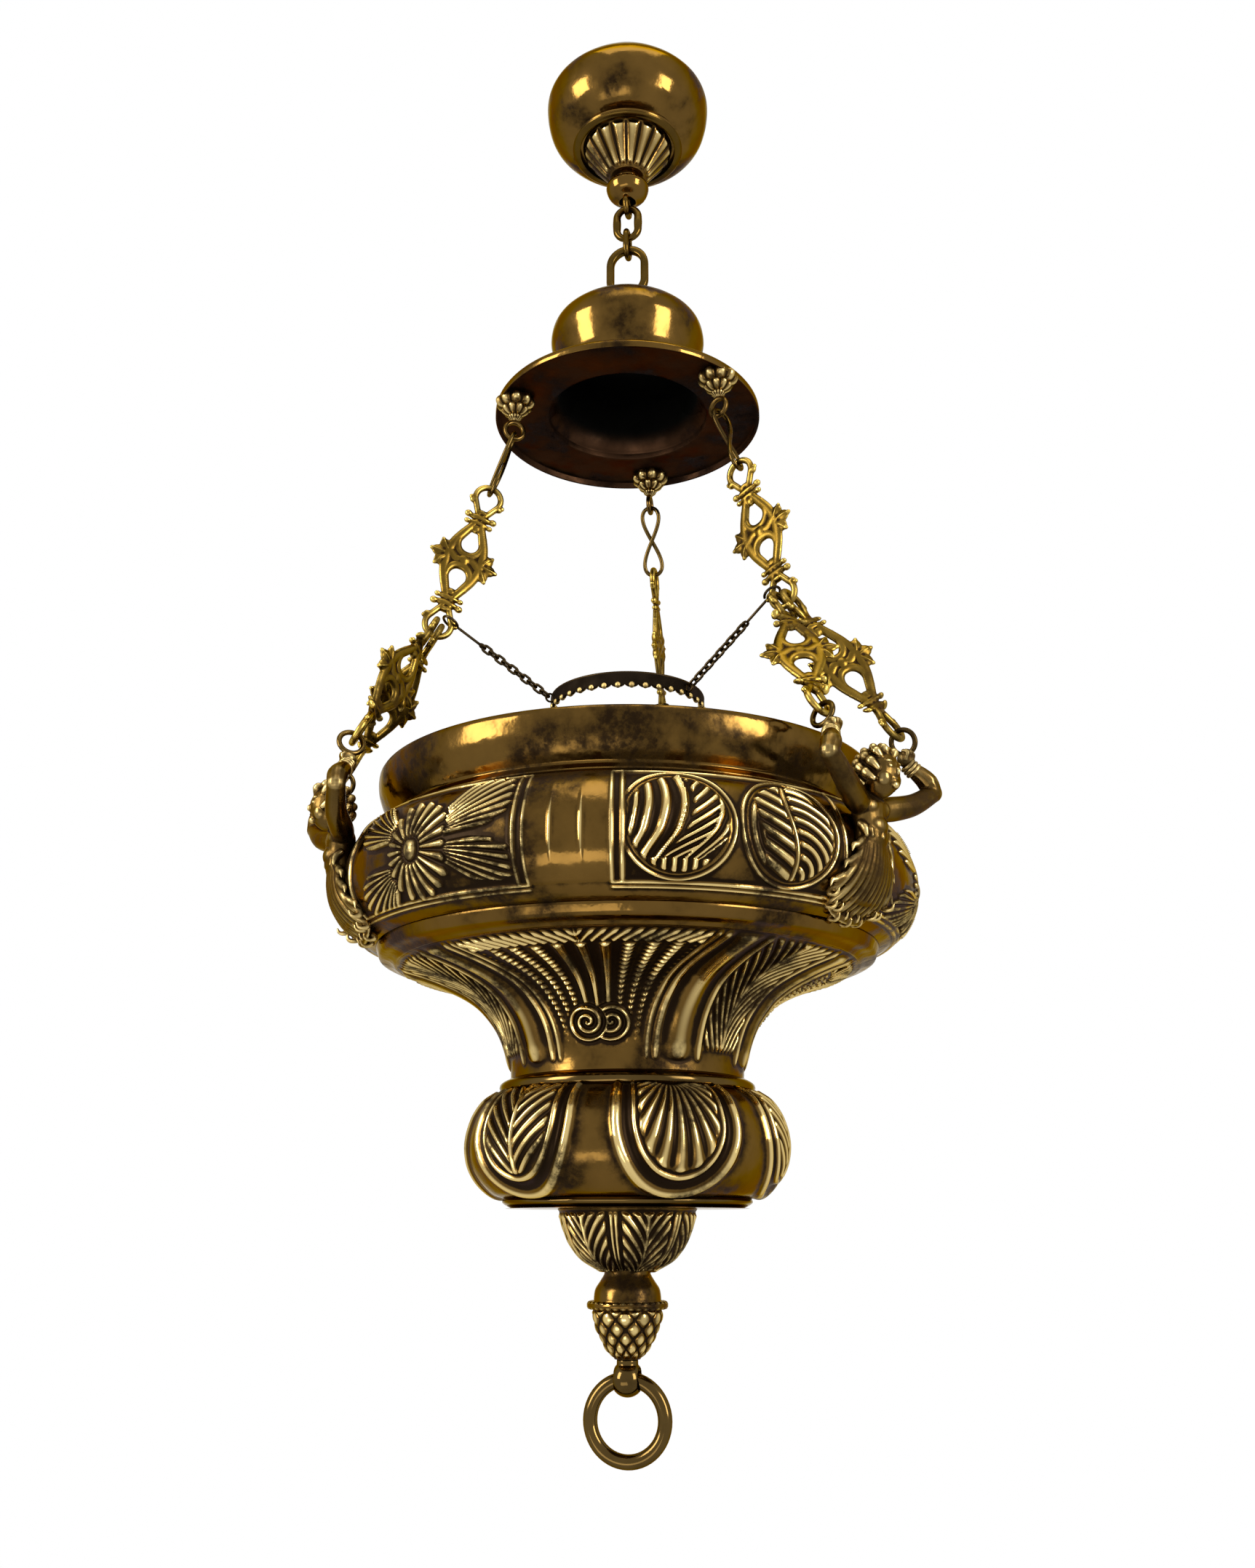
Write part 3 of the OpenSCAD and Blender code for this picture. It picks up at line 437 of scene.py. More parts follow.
PETALS = 20
HEART = (5.0, 6.3)
# Corner leaves of the flower panel: base from the flower's middle, way, length, half spread, number of ribs
CORNER_LEAVES = (
    ((13.0, 4.0), 29.0, 58.0, 26.0, 9), ((11.0, -1.0), -16.0, 58.0, 19.0, 7),
    ((-6.0, -8.0), 205.0, 54.0, 27.0, 9), ((-5.0, 7.0), 157.0, 54.0, 25.0, 9),
)


def scallop(x, y, base, way, length, spread, ribs):
    """A fan-shaped leaf whose ribs open from its base and end rounded."""
    across, up = x - base[0], y - base[1]
    distance = np.hypot(across, up)
    off = (np.arctan2(up, across) - math.radians(way) + np.pi) % (2 * np.pi) - np.pi
    share = off / math.radians(spread)
    end = length * (1 - 0.42 * share ** 2) * (0.96 + 0.04 * np.cos(np.pi * ribs * share))
    within = smooth_step(end + 0.8, end - 0.8, distance)
    inside = smooth_step(1.0, 0.94, np.abs(share)) * within
    rim = ridge((np.abs(share) - 0.97) * distance * math.radians(spread), 0.9) * within
    return inside * (0.4 + 1.9 * wave(ribs * share / 2 + 0.006 * distance) ** 1.2) + 1.2 * rim


def daisy(x, y):
    """A daisy with an oval heart and long petals, shorter on its left, and leaves in the corners."""
    distance = np.hypot(x, y)
    turn = np.arctan2(y, x)
    reach = 28.0 - 10.0 * smooth_step(0.3, 1.0, -np.cos(turn)) - 4.0 * smooth_step(0.85, 1.0, np.cos(turn))
    tip = reach * (0.95 + 0.05 * np.cos(PETALS * turn))
    inside = smooth_step(tip + 0.8, tip - 0.8, distance)
    petals = wave(PETALS * turn / (2 * np.pi)) ** 0.9 * smooth_step(6.0, 9.0, distance)
    height = inside * (0.1 + 2.1 * petals)
    height += 2.6 * np.sqrt(np.clip(1 - (x / HEART[0]) ** 2 - (y / HEART[1]) ** 2, 0, 1))
    beyond = smooth_step(tip + 1.4, tip + 2.6, distance)
    leaves = np.zeros_like(height)
    for leaf in CORNER_LEAVES:
        leaves = np.maximum(leaves, scallop(x, y, *leaf))
    return height + beyond * leaves


def medallion(x, y, kind):
    """An oval frame with a leaf: arching blades beside a bent stem, or a midrib with veins."""
    u, v = x / MEDALLION[0], y / MEDALLION[1]
    ring = np.hypot(u, v)
    inside = smooth_step(0.9, 0.83, ring)
    height = 1.5 * ridge((ring - 1.0) * MEDALLION[0], 0.9) + 0.8 * ridge((ring - 0.91) * MEDALLION[0], 0.7)
    if kind == 0:
        stem = 0.14 * np.sin(2.8 * v + 0.5) - 0.3 * smooth_step(-0.1, -0.9, v)
        across = (u - stem) / np.sqrt(np.clip(1.0 - (0.72 * v - 0.22) ** 2, 0.05, 1))
        blades = wave(4.6 * np.arcsin(np.clip(across, -1, 1)) / (np.pi / 2)) ** 1.4
        feathers = wave(4.2 * (v - 0.85 * across)) ** 1.4 * smooth_step(0.1, 0.18, across)
        pattern = np.where((across > 0) & (across < 0.6), feathers, blades)
        pattern = np.where(v < -0.62, wave(5.5 * u + 0.3), pattern)
        height += inside * (0.1 + 2.1 * pattern + 1.7 * ridge(across, 0.08) * smooth_step(-0.75, -0.6, v))
    else:
        bend = u + 0.08 * np.sin(3.0 * v)
        arcs = wave(5.6 * np.hypot(bend - 0.05, 0.85 * (v + 0.85))) ** 1.2
        chunks = wave(3.8 * (v - 0.5 * np.abs(bend)) + 0.2) ** 0.8 * smooth_step(0.75, 0.55, np.abs(bend))
        rim_arc = wave(5.0 * ring) * smooth_step(0.55, 0.7, np.abs(bend))
        pattern = np.where(bend > 0, arcs, np.maximum(chunks, rim_arc))
        pattern = pattern * smooth_step(0.04, 0.11, np.abs(bend))
        height += inside * (0.1 + 2.1 * pattern + 1.6 * ridge(bend, 0.06))
    return height


def belly_relief(angle, arc, length, radius):
    place = (angle - SIDES["left"]) % SECTOR
    top, bottom = PANEL[0] * length, PANEL[1] * length
    middle = (top + bottom) / 2
    y = middle - arc
    height = np.zeros(np.broadcast(place, arc).shape)
    field = window(arc, top - 1, top + 2.5, bottom - 2.5, bottom + 1)
    in_strap = window(place, STRAP[0], STRAP[0] + 0.8, STRAP[1] - 0.8, STRAP[1])
    in_flower = window(place, PANEL_ENDS[0], PANEL_ENDS[0] + 1, STRAP[0] - 2.8, STRAP[0] - 2)
    in_leaves = smooth_step(STRAP[1] + 2, STRAP[1] + 2.8, place)
    height += field * in_flower * daisy((place - FLOWER_AT) * PER_DEGREE, y + FLOWER_DROP)
    for kind, at in enumerate(MEDALLIONS_AT):
        height += field * in_leaves * medallion((place - at) * PER_DEGREE, y, kind)
    ground = field * (in_flower + in_leaves)
    height -= 0.5 * ground
    # Raised double lines round the panels
    for at in (PANEL_ENDS[0], STRAP[0] - 1.6, STRAP[0] + 0.2, STRAP[1] - 0.2, STRAP[1] + 1.6,
               PANEL_ENDS[1]):
        height += 1.2 * ridge((place - at) * PER_DEGREE, 1.0) * field
    for level in (top, bottom, bottom + 3.0):
        height += 1.1 * ridge(arc - level, 1.0) * (1 - in_strap)
    # Ribs on the plain strap
    for at in (0.32, 0.66):
        rib = STRAP[0] + at * (STRAP[1] - STRAP[0])
        height += 0.9 * ridge((place - rib) * PER_DEGREE, 0.9) * ridge(arc / length - 0.52, 0.16) * field
    return height + 0.5 * in_strap * field


# Funnel, in one sector about the front: fan in the middle, smooth bands, leaf at the putto's angle
FAN_HALF = (33.0, 20.0)
LEAF_EDGE = 48.0
# Share of the funnel's height that the strokes along the fan's top take
STROKES_END = 0.17
# Middle of a volute from the fan's middle, in degrees, its height as a share of the funnel, and its radius
VOLUTE_AT = 5.2
VOLUTE_DOWN = 0.75
VOLUTE_R = 11.2
# Smooth bands beside the fan: place and half width as shares of their field, and rise
BANDS = ((0.02, 0.05, 1.5), (0.17, 0.07, 2.0), (0.55, 0.2, 3.2), (0.93, 0.07, 2.0))


def volute(place, arc, length, radius, way):
    """Height of one scroll, and where it lies."""
    x = (place - way * VOLUTE_AT) * math.radians(1) * radius
    y = arc - VOLUTE_DOWN * length
    off = np.hypot(x, y)
    turn = np.arctan2(y, x * way) / (2 * np.pi)
    within = smooth_step(VOLUTE_R + 0.6, VOLUTE_R - 0.6, off)
    return 2.3 * wave(off / 4.6 - turn) ** 1.5, within


def funnel_relief(angle, arc, length, radius):
    place = from_middle(angle, FRONT, SECTOR)
    down = arc / length
    edge = FAN_HALF[0] + (FAN_HALF[1] - FAN_HALF[0]) * smooth_step(0.0, 0.9, down)
    side = np.abs(place)
    field = window(down, 0.02, 0.06, 0.86, 0.9)
    # Fan: thin flutes, broken into rungs away from the middle, and a row of slanted strokes along its top
    in_fan = smooth_step(edge - 0.6, edge - 1.8, side) * field
    share = place / edge
    flutes = wave(share * 5.0) ** 2.2
    rungs = smooth_step(0.25, 0.4, np.abs(share))
    flutes = flutes * (1 - 0.8 * rungs * wave(arc / 3.6 + 1.5 * np.abs(share)))
    strokes = wave(share * 12.0 + arc / 9.0 * np.sign(place)) ** 1.6
    fan = np.where(down < STROKES_END, strokes, flutes) * smooth_step(0.0, 0.025, np.abs(down - STROKES_END))
    height = in_fan * 2.3 * fan * smooth_step(0.9, 0.6, down)
    for way in (1, -1):
        scroll, within = volute(place, arc, length, radius, way)
        height = height * (1 - within * in_fan) + scroll * within * in_fan
    # Smooth bands with rounded ends
    width = LEAF_EDGE - edge
    end = np.sqrt(np.clip(1 - np.clip((down - 0.86) / 0.09, 0, 1) ** 2, 0, 1))
    for at, thick, rise in BANDS:
        across = (side - edge) / width - at
        height += rise * ridge(across, thick * (0.25 + 0.75 * end)) * end * smooth_step(0.0, 0.06, down)
    # Veined leaf
    across = (SECTOR / 2 - side) / (SECTOR / 2 - LEAF_EDGE)
    in_leaf = smooth_step(1.0, 0.9, across) * (side > LEAF_EDGE - 0.5) * field
    return height + in_leaf * 1.8 * leaf_veins(across, 1 - down, 10.0)


# Lower knob: an arch every 60 degrees, in turn a shell and a leaf
ARCH_STEP = 60.0
ARCH_AT = 300.0
ARCH_HALF = 15.5
# Where the round of an arch begins and how far it reaches, as shares of the knob's height
ARCH_SPRING = 0.34
ARCH_ROUND = 0.4


def knob_relief(angle, arc, length, radius):
    place = from_middle(angle, ARCH_AT, ARCH_STEP)
    number = np.floor((angle - ARCH_AT + ARCH_STEP / 2) / ARCH_STEP) % 2
    down = arc / length
    level = np.hypot(place / ARCH_HALF, np.clip(down - ARCH_SPRING, 0, None) / ARCH_ROUND)
    open_top = smooth_step(0.02, 0.06, down)
    height = open_top * (2.0 * ridge(level - 1.03, 0.06) + 2.3 * ridge(level - 1.42, 0.11))
    height += open_top * -0.8 * ridge(level - 1.2, 0.08)
    inside = smooth_step(0.97, 0.88, level) * open_top
    x = place * math.radians(1) * radius
    y = arc + 2.0
    fan = shell_fan(np.arctan2(x, y), np.hypot(x, y), 17.0, 40.0)
    leaf = leaf_veins(place / ARCH_HALF, (0.76 - down) / 0.76, 7.0)
    return height + inside * 2.1 * np.where(number == 0, fan, leaf)


def cup_relief(angle, arc, length, radius):
    place = from_middle(angle, ARCH_AT, ARCH_STEP)
    down = arc / length
    across = place / 24.0
    tip = 1.0 - 0.25 * np.abs(across) ** 2
    inside = smooth_step(1.0, 0.9, np.abs(across)) * smooth_step(0.03, 0.08, down)
    height = inside * (0.4 + 1.5 * leaf_veins(across, 1.2 - down, 6.5)) * tip
    height += 1.5 * ridge(np.abs(place) - 28.0, 1.6) * smooth_step(0.03, 0.1, down)
    return height * smooth_step(0.99, 0.9, down)


SCALES = 11


def scales(angle, arc, high):
    """Rows of pointed scales, each row shifted by half a scale."""
    around = SCALES * angle / 360
    down = arc / high
    return np.abs(np.cos(np.pi * (around + down / 2)) * np.cos(np.pi * (around - down / 2))) ** 0.55


def acorn_relief(angle, arc, length, radius):
    return 1.7 * scales(angle, arc, 5.6) * smooth_step(0.5, 3.0, arc) * smooth_step(length, length - 5, arc)


def dome_relief(angle, arc, length, radius):
    return 0.8 * scales(angle, arc, 4.4) * smooth_step(3.0, 6.0, arc) * smooth_step(length, length - 2, arc)


FLUTES = 18


def cone_relief(angle, arc, length, radius):
    down = arc / length
    field = window(down, 0.04, 0.14, 0.85, 0.97)
    return field * (1.8 * np.abs(np.sin(np.pi * FLUTES * angle / 360)) ** 0.8 - 0.6)


BRAID = 6


def braid_relief(angle, arc, length, radius):
    """Strands of the wick that wind both ways."""
    left = wave(BRAID * angle / 360 + arc / 5.0)
    right = wave(BRAID * angle / 360 - arc / 5.0)
    return 0.35 * np.maximum(left, right)


# Materials

class Graph:
    """The nodes of a material or of the world, with short ways to add more."""

    def __init__(self, owner):
        owner.use_nodes = True
        self.nodes = owner.node_tree.nodes
        self.links = owner.node_tree.links

    def put(self, inputs, **values):
        """Links inputs to sockets or sets them to constants; _ in a name stands for a space."""
        for key, value in values.items():
            socket = inputs[key.replace("_", " ")]
            if isinstance(value, bpy.types.NodeSocket):
                self.links.new(value, socket)
            else:
                socket.default_value = value

    def new(self, kind, **values):
        node = self.nodes.new("ShaderNode" + kind)
        self.put(node.inputs, **values)
        return node

    def noise(self, place, scale, detail, roughness=0.55):
        node = self.new("TexNoise", Vector=place, Scale=scale, Detail=detail, Roughness=roughness)
        return node.outputs["Fac"]

    def ramp(self, value, low, high, out_low=0.0, out_high=1.0):
        """Value from low to high becomes out_low to out_high, smoothly."""
        node = self.new("MapRange", Value=value, From_Min=low, From_Max=high, To_Min=out_low, To_Max=out_high)
        node.interpolation_type = "SMOOTHSTEP"
        return node.outputs["Result"]

    def math(self, operation, a, b, clamp=True):
        node = self.new("Math")
        node.operation = operation
        node.use_clamp = clamp
        for socket, value in zip(node.inputs, (a, b)):
            self.put({"value": socket}, value=value)
        return node.outputs["Value"]

    def mix(self, factor, a, b):
        """A colour between two, each a socket or three numbers."""
        node = self.new("Mix")
        node.data_type = "RGBA"
        a, b = ((*c, 1.0) if isinstance(c, tuple) else c for c in (a, b))
        self.put(node.inputs, Factor=factor, A=a, B=b)
        return node.outputs["Result"]

    def bump(self, height, strength, distance):
        return self.new("Bump", Height=height, Strength=strength, Distance=distance).outputs["Normal"]


def surface(name):
    """A new material, its graph, its shader's inputs and the place on the object."""
    material = bpy.data.materials.new(name)
    graph = Graph(material)
    place = graph.new("TexCoord").outputs["Object"]
    return material, graph, graph.nodes["Principled BSDF"].inputs, place


# Colours at a grazing angle of clean brass and of the sooty lining, whose dark edge is also painted shade
BRASS_EDGE = (0.6, 0.46, 0.24, 1.0)
SOOT_AND_SHADE_EDGE = (0.3, 0.2, 0.13, 1.0)
# Sizes of the brass's noises, as waves in a metre
CLOUDS = 22.0
SPECKS = 160.0
SMEARS = 60.0
HAMMER_MARKS = 28.0
SMALL_DENTS = 85.0
DENT_DEPTH = 2 * MM
# Colour of soot and painted shade deep in the cap's hollow, and the height over which it thickens
BLACK = (0.006, 0.006, 0.005)
SOOT_AND_SHADE_HEIGHT = 12 * MM


def brass(name, metal, bright, patina_and_shade_colour, dark_patches=0.5, rough=0.2, dents=0.12, edge=BRASS_EDGE, black_above=None):
    """Old brass: patina in the hollows, which is also painted shade there, and dark patches that are partly stains
    and partly painted reflections; rubbed bright on what stands out, which is also a painted highlight; slightly
    uneven.

    black_above is the height over which soot and painted shade cover it."""
    material, graph, inputs, place = surface(name)
    ramp = graph.ramp
    attribute = graph.new("Attribute")
    attribute.attribute_name = "relief"
    relief = attribute.outputs["Fac"]
    clouds = graph.noise(place, CLOUDS, 5.0)
    specks = graph.noise(place, SPECKS, 6.0, 0.7)
    # Depth below the surroundings, in millimetres, with a ragged edge
    depth = graph.math("SUBTRACT", graph.math("MULTIPLY", specks, 0.5), relief, clamp=False)
    # Dark patches: partly stains, partly painted dark reflections
    stains_and_reflections = ramp(clouds, 0.62 - 0.14 * dark_patches, 0.72 - 0.12 * dark_patches, 0.0, 0.95 * dark_patches)
    stains_and_reflections = graph.math("MULTIPLY", stains_and_reflections, ramp(specks, 0.35, 0.6, 0.4, 1.0))
    # Patina in the hollows, which is also painted shade there, and in the dark patches
    patina_and_shade = graph.math("MAXIMUM", ramp(depth, 0.32, 0.68), stains_and_reflections)
    tone = graph.mix(ramp(clouds, 0.3, 0.7), metal, tuple(0.6 * c for c in metal))
    # What stands out is rubbed bright as wear and as painted highlight
    tone = graph.mix(ramp(relief, 0.2, 0.9), tone, bright)
    tone = graph.mix(patina_and_shade, tone, patina_and_shade_colour)
    if black_above is not None:
        # Soot that is also painted shade: black higher up inside the hollow
        height = graph.new("SeparateXYZ", Vector=place).outputs["Z"]
        soot_and_shade = ramp(height, black_above, black_above + SOOT_AND_SHADE_HEIGHT)
        tone = graph.mix(soot_and_shade, tone, BLACK)
        patina_and_shade = graph.math("MAXIMUM", patina_and_shade, soot_and_shade)
    smear = ramp(graph.noise(place, SMEARS, 4.0), 0.3, 0.7, rough * 0.65, rough * 1.35)
    beaten = graph.math("MULTIPLY", graph.noise(place, HAMMER_MARKS, 1.0), 2.5, clamp=False)
    uneven = graph.math("ADD", beaten, graph.noise(place, SMALL_DENTS, 3.0, 0.5), clamp=False)
    graph.put(inputs, Base_Color=tone, Specular_IOR_Level=0.08, Specular_Tint=edge,
              Metallic=ramp(patina_and_shade, 0.0, 1.0, 1.0, 0.55),
              Roughness=graph.math("ADD", smear, graph.math("MULTIPLY", patina_and_shade, 0.25)),
              Normal=graph.bump(uneven, dents, DENT_DEPTH))
    return material


def oil_glass_material():
    """Clear glass with a faintly greasy surface."""
    material, graph, inputs, place = surface("clear_glass")
    smear = graph.ramp(graph.noise(place, 90.0, 3.0), 0.3, 0.7, 0.02, 0.09)
    graph.put(inputs, Base_Color=(0.93, 0.97, 0.95, 1.0), Transmission_Weight=1.0, IOR=1.5, Roughness=smear)
    return material


def cotton_material():
    """Fine strands round the wick."""
    material, graph, inputs, place = surface("cotton")
    weave = graph.new("TexWave", Vector=place, Scale=420.0, Distortion=2.0)
    weave.bands_direction = "Z"
    strands = weave.outputs["Fac"]
    graph.put(inputs, Base_Color=graph.mix(strands, (0.72, 0.66, 0.52), (0.9, 0.86, 0.74)), Roughness=0.95,
              Normal=graph.bump(strands, 0.4, 0.4 * MM))
    return material


# Colours of the metal, of what is rubbed bright and painted as highlight, and of the patina that is also painted
# shade and painted dark reflection
AGED = brass("aged_brass", (0.13, 0.072, 0.017), (0.63, 0.47, 0.19), (0.011, 0.006, 0.003),
             dark_patches=1.0, rough=0.15, dents=0.16)
GILT = brass("gilt_brass", (0.083, 0.048, 0.01), (0.5, 0.36, 0.12), (0.01, 0.006, 0.003),
             dark_patches=0.6, rough=0.22, dents=0.05)
CAST = brass("cast_brass", (0.11, 0.065, 0.018), (0.5, 0.37, 0.15), (0.016, 0.008, 0.003),
             dark_patches=0.75, rough=0.31, dents=0.07)
DARK = brass("dark_brass", (0.05, 0.034, 0.016), (0.2, 0.13, 0.05), (0.01, 0.007, 0.004), dark_patches=0.8, rough=0.4)
INNER = brass("inner_brass", (0.12, 0.075, 0.028), (0.3, 0.22, 0.09), (0.05, 0.028, 0.01), rough=0.35)
SOOT_AND_SHADE = brass("soot_and_shade", (0.042, 0.02, 0.01), (0.07, 0.04, 0.022), (0.01, 0.006, 0.005),
             dark_patches=0.9, rough=0.5, edge=SOOT_AND_SHADE_EDGE, black_above=-268 * MM)
LINKS = brass("link_brass", (0.16, 0.094, 0.014), (0.45, 0.31, 0.07), (0.02, 0.01, 0.003),
              dark_patches=0.7, rough=0.3, dents=0.05)
WIRE = brass("wire_brass", (0.085, 0.053, 0.015), (0.36, 0.25, 0.08), (0.02, 0.012, 0.005),
             dark_patches=0.6, rough=0.24, dents=0.05)
# Ring brass: its dark metal is painted shade on the ring's outside, its bright gold painted light inside
RING_SHADE_AND_LIGHT = brass("ring_brass", (0.05, 0.032, 0.014), (0.9, 0.66, 0.25), (0.012, 0.008, 0.005),
                  dark_patches=0.3, rough=0.5)
POLISHED = brass("polished_brass", (0.105, 0.065, 0.02), (0.6, 0.46, 0.2), (0.012, 0.007, 0.003),
                 dark_patches=0.3, rough=0.13, dents=0.02)
GLASS = oil_glass_material()
COTTON = cotton_material()


# Turned and chased pieces

for node, body, material in (
    ("ceiling_rose", "canopy", AGED),
    ("rose_ring", "canopy", GILT),
    ("rose_knob", "canopy", AGED),
    ("bowl_rim", "bowl", AGED),
    ("belly_moulding", "bowl", AGED),
    ("neck_collar", "bowl", POLISHED),
    ("base_plate", "bowl", POLISHED),
):
    turned(node, body, "aged_brass" if material is AGED else "gilt_brass", material)

turned("oil_glass", "oil_glass", "clear_glass", GLASS, spacing=1.0 * MM)
turned("wick_tube", "oil_glass", "inner_brass", INNER, columns=96, spacing=0.6 * MM)
turned("wick", "oil_glass", "cotton", COTTON, columns=96, spacing=0.25 * MM, reliefs=(braid_relief,))
# The cap's lining is soot and painted shade, black high inside the hollow
turned("cap_shell", "cap", "aged_brass", AGED, lining=SOOT_AND_SHADE)
# Columns round the piece and spacing in millimetres, fine enough for the chasing
for node, body, columns, spacing, *reliefs in (
    ("bowl_belly", "bowl", 1440, 0.5, belly_relief),
    ("funnel", "bowl", 1260, 0.5, funnel_relief),
    ("lower_knob", "bowl", 960, 0.5, knob_relief),
    ("leaf_cup", "bowl", 600, 0.4, cup_relief),
    ("fluted_cone", "canopy", 540, 0.4, cone_relief),
    ("acorn_finial", "bowl", 360, 0.35, acorn_relief, dome_relief),
):
    turned(node, body, "aged_brass", AGED, columns, spacing * MM, reliefs)


# Cast pieces

def pulled(items, key, columns, kind=float):
    """A value of all items of a mesh as an array, one row for each."""
    values = np.empty(len(items) * columns, dtype=kind)
    items.foreach_get(key, values)
    return values.reshape(-1, columns)


def melted(mesh, voxel, passes):
    """One smoothed skin round all shapes of a mesh: points, faces and how far each point stands out."""
    rough = in_scene("rough", mesh)
    remesh = rough.modifiers.new("skin", "REMESH")
    remesh.mode = "VOXEL"
    remesh.voxel_size = voxel
    soften = rough.modifiers.new("soften", "SMOOTH")
    soften.factor = 0.5
    soften.iterations = passes
    done = rough.evaluated_get(bpy.context.evaluated_depsgraph_get()).to_mesh()
    points = pulled(done.vertices, "co", 3)
    normals = pulled(done.vertices, "normal", 3)
    edges = pulled(done.edges, "vertices", 2, np.int64)
    faces = pulled(done.loops, "vertex_index", 1, np.int64).reshape(-1, 4)
    rough.to_mesh_clear()
    bpy.data.objects.remove(rough)
    return points, faces, hollows(points, normals, edges)


def hollows(points, normals, edges, rounds=14):
    """How far each point stands over the mean of its surroundings, along its normal, in millimetres."""
    mean = points.copy()
    degree = np.bincount(edges.ravel(), minlength=len(points))[:, None]
    for _ in range(rounds):
        total = np.zeros_like(mean)
        np.add.at(total, edges[:, 0], mean[edges[:, 1]])
        np.add.at(total, edges[:, 1], mean[edges[:, 0]])
        mean = total / degree
    return ((points - mean) * normals).sum(axis=1) / MM


# Wires and links

def loose_parts(node):
    """The separate solids of a CAD node, each as an array of points."""
    mesh = NODES[node].data
    keys = [tuple(round(c, 6) for c in vertex.co) for vertex in mesh.vertices]
    parent = {key: key for key in keys}

    def root(key):
        while parent[key] != key:
            parent[key] = parent[parent[key]]
            key = parent[key]
        return key

    for face in mesh.polygons:
        corners = [keys[i] for i in face.vertices]
        for key in corners[1:]:
            parent[root(key)] = root(corners[0])
    groups = {}
    for key in parent:
        groups.setdefault(root(key), []).append(key)
    return [np.array(sorted(group)) for group in groups.values()]


def own_frame(points):
    """Middle, axes and sizes of a solid, longest first."""
    axes = np.linalg.svd(points - points.mean(axis=0), full_matrices=False)[2]
    along = points @ axes.T
    low, high = along.min(axis=0), along.max(axis=0)
    return (low + high) / 2 @ axes, axes, high - low


def oval_path(length, width, count=56):
    """An oval with round ends, along X, in the XY plane."""
    straight = max(length - width, 0.0) / 2
    radius = width / 2
    half = np.linspace(-np.pi / 2, np.pi / 2, count // 2)
    end = np.stack((straight + radius * np.cos(half), radius * np.sin(half)), axis=1)
    loop = np.vstack((end, -end, end[:1]))
    return np.hstack((even(loop, count + 1)[:-1], np.zeros((count, 1))))


def wire_link(heap, points, swell=0.0, square=1.0, sides=14, thick=1.0):
    """A closed wire link in place of a CAD one; swell thickens its sides, square flattens its faces."""
    middle, axes, size = own_frame(points)
    wire = size[2] / 2
    path = oval_path(size[0] - 2 * wire, size[1] - 2 * wire)
    bulge = thick * wire * (1 + swell * (1 - np.abs(path[:, 0]) / np.abs(path[:, 0]).max()))
    tube(heap, path @ axes + middle, bulge, closed=True, sides=sides, square=square)


def wire_piece(node, body, slot, material, **shape):
    """All links of a CAD node as fine wires."""
    heap = Heap()
    for points in loose_parts(node):
        wire_link(heap, points, **shape)
    new_object(node + "_wire", heap, body, slot, material, node)


def at_chain(side):
    """Turns the radial plane of the lamp to one chain."""
    return turn_by(SIDES[side], "Z")


# Openwork links, drawn in millimetres: across, along, and thick
LINK_HALF = 56.0
# Grid on which the link's balls melt together
LINK_VOXEL = 0.5
# Radius of the eyes' wire
BAR = 2.0
KNOT_Y = 32.0
EYE_Y = 47.8
EYE_R = 8.2
# Half thickness of the flat parts
PLATE = 2.0
# Round openings beside the cross bar: height and radius
OPENING_Y = 11.0
OPENING_R = 7.4


def stroke(heap, points, widths, count=22):
    """A flat bar along a smooth line in the link's plane."""
    line = spline(points, count)
    for (x, y), half in zip(line, spread(widths, count)):
        ball(heap, (x, y, 0), (half, half, min(half, PLATE)), 8, 12)


def link_eye(heap, end):
    """A long eye with a round end and two shoulders, from the knot outward."""
    half = np.linspace(-0.15 * np.pi, 1.15 * np.pi, 25)
    bend = np.stack((EYE_R * np.cos(half), EYE_Y + EYE_R * np.sin(half)), axis=1)
    loop = spline(np.vstack(((1.2, KNOT_Y + 1.0), bend, (-1.2, KNOT_Y + 1.0))), 64)
    tube(heap, np.c_[loop[:, 0], end * loop[:, 1], np.zeros(64)], BAR, sides=12)
    for side in (-1, 1):
        ball(heap, (side * 8.0, end * 43.5, 0), (3.1, 2.2, PLATE), 10, 14)
        ball(heap, (side * 10.4, end * 45.2, 0), (1.7, 1.5, 1.5), 8, 10)


def link_knot(heap, end):
    """Three collars with knops at their sides, and a small leaf below."""
    for lift, wide, high in ((0.4, 8.6, 2.4), (-3.8, 7.4, 2.0), (4.4, 5.4, 2.0)):
        ball(heap, (0, end * (KNOT_Y + lift), 0), (wide, high, 2.3), 10, 18)
    ball(heap, (0, end * (KNOT_Y - 7.6), 0), (3.6, 3.4, PLATE), 10, 16)
    for side in (-1, 1):
        ball(heap, (side * 8.2, end * (KNOT_Y + 1.0), 0), (2.6, 2.2, 2.1), 10, 14)
        ball(heap, (side * 7.4, end * (KNOT_Y - 4.0), 0), (2.2, 1.7, 1.8), 8, 12)


def link_leaf(heap, side):
    """The leaf at one corner: three broad lobes with a rib and a pointed tip each."""
    for way, reach in ((-54, 10.4), (0, 10.8), (54, 10.4)):
        turn = np.array(turn_by(way, "Z").to_3x3())
        for along, long, wide, thick in ((0.5, 5.8, 4.2, 1.8), (0.55, 5.4, 1.1, 2.4), (0.93, 2.6, 1.6, 1.4)):
            place = turn @ np.array((along * reach, 0, 0)) + (10.2, 0, 0)
            lobe = Heap()
            ball(lobe, (0, 0, 0), (long, wide, thick), 12, 16, turn=turn)
            heap.add((lobe.points[0] + place) * (side, 1, 1), lobe.faces[0][:, ::side])


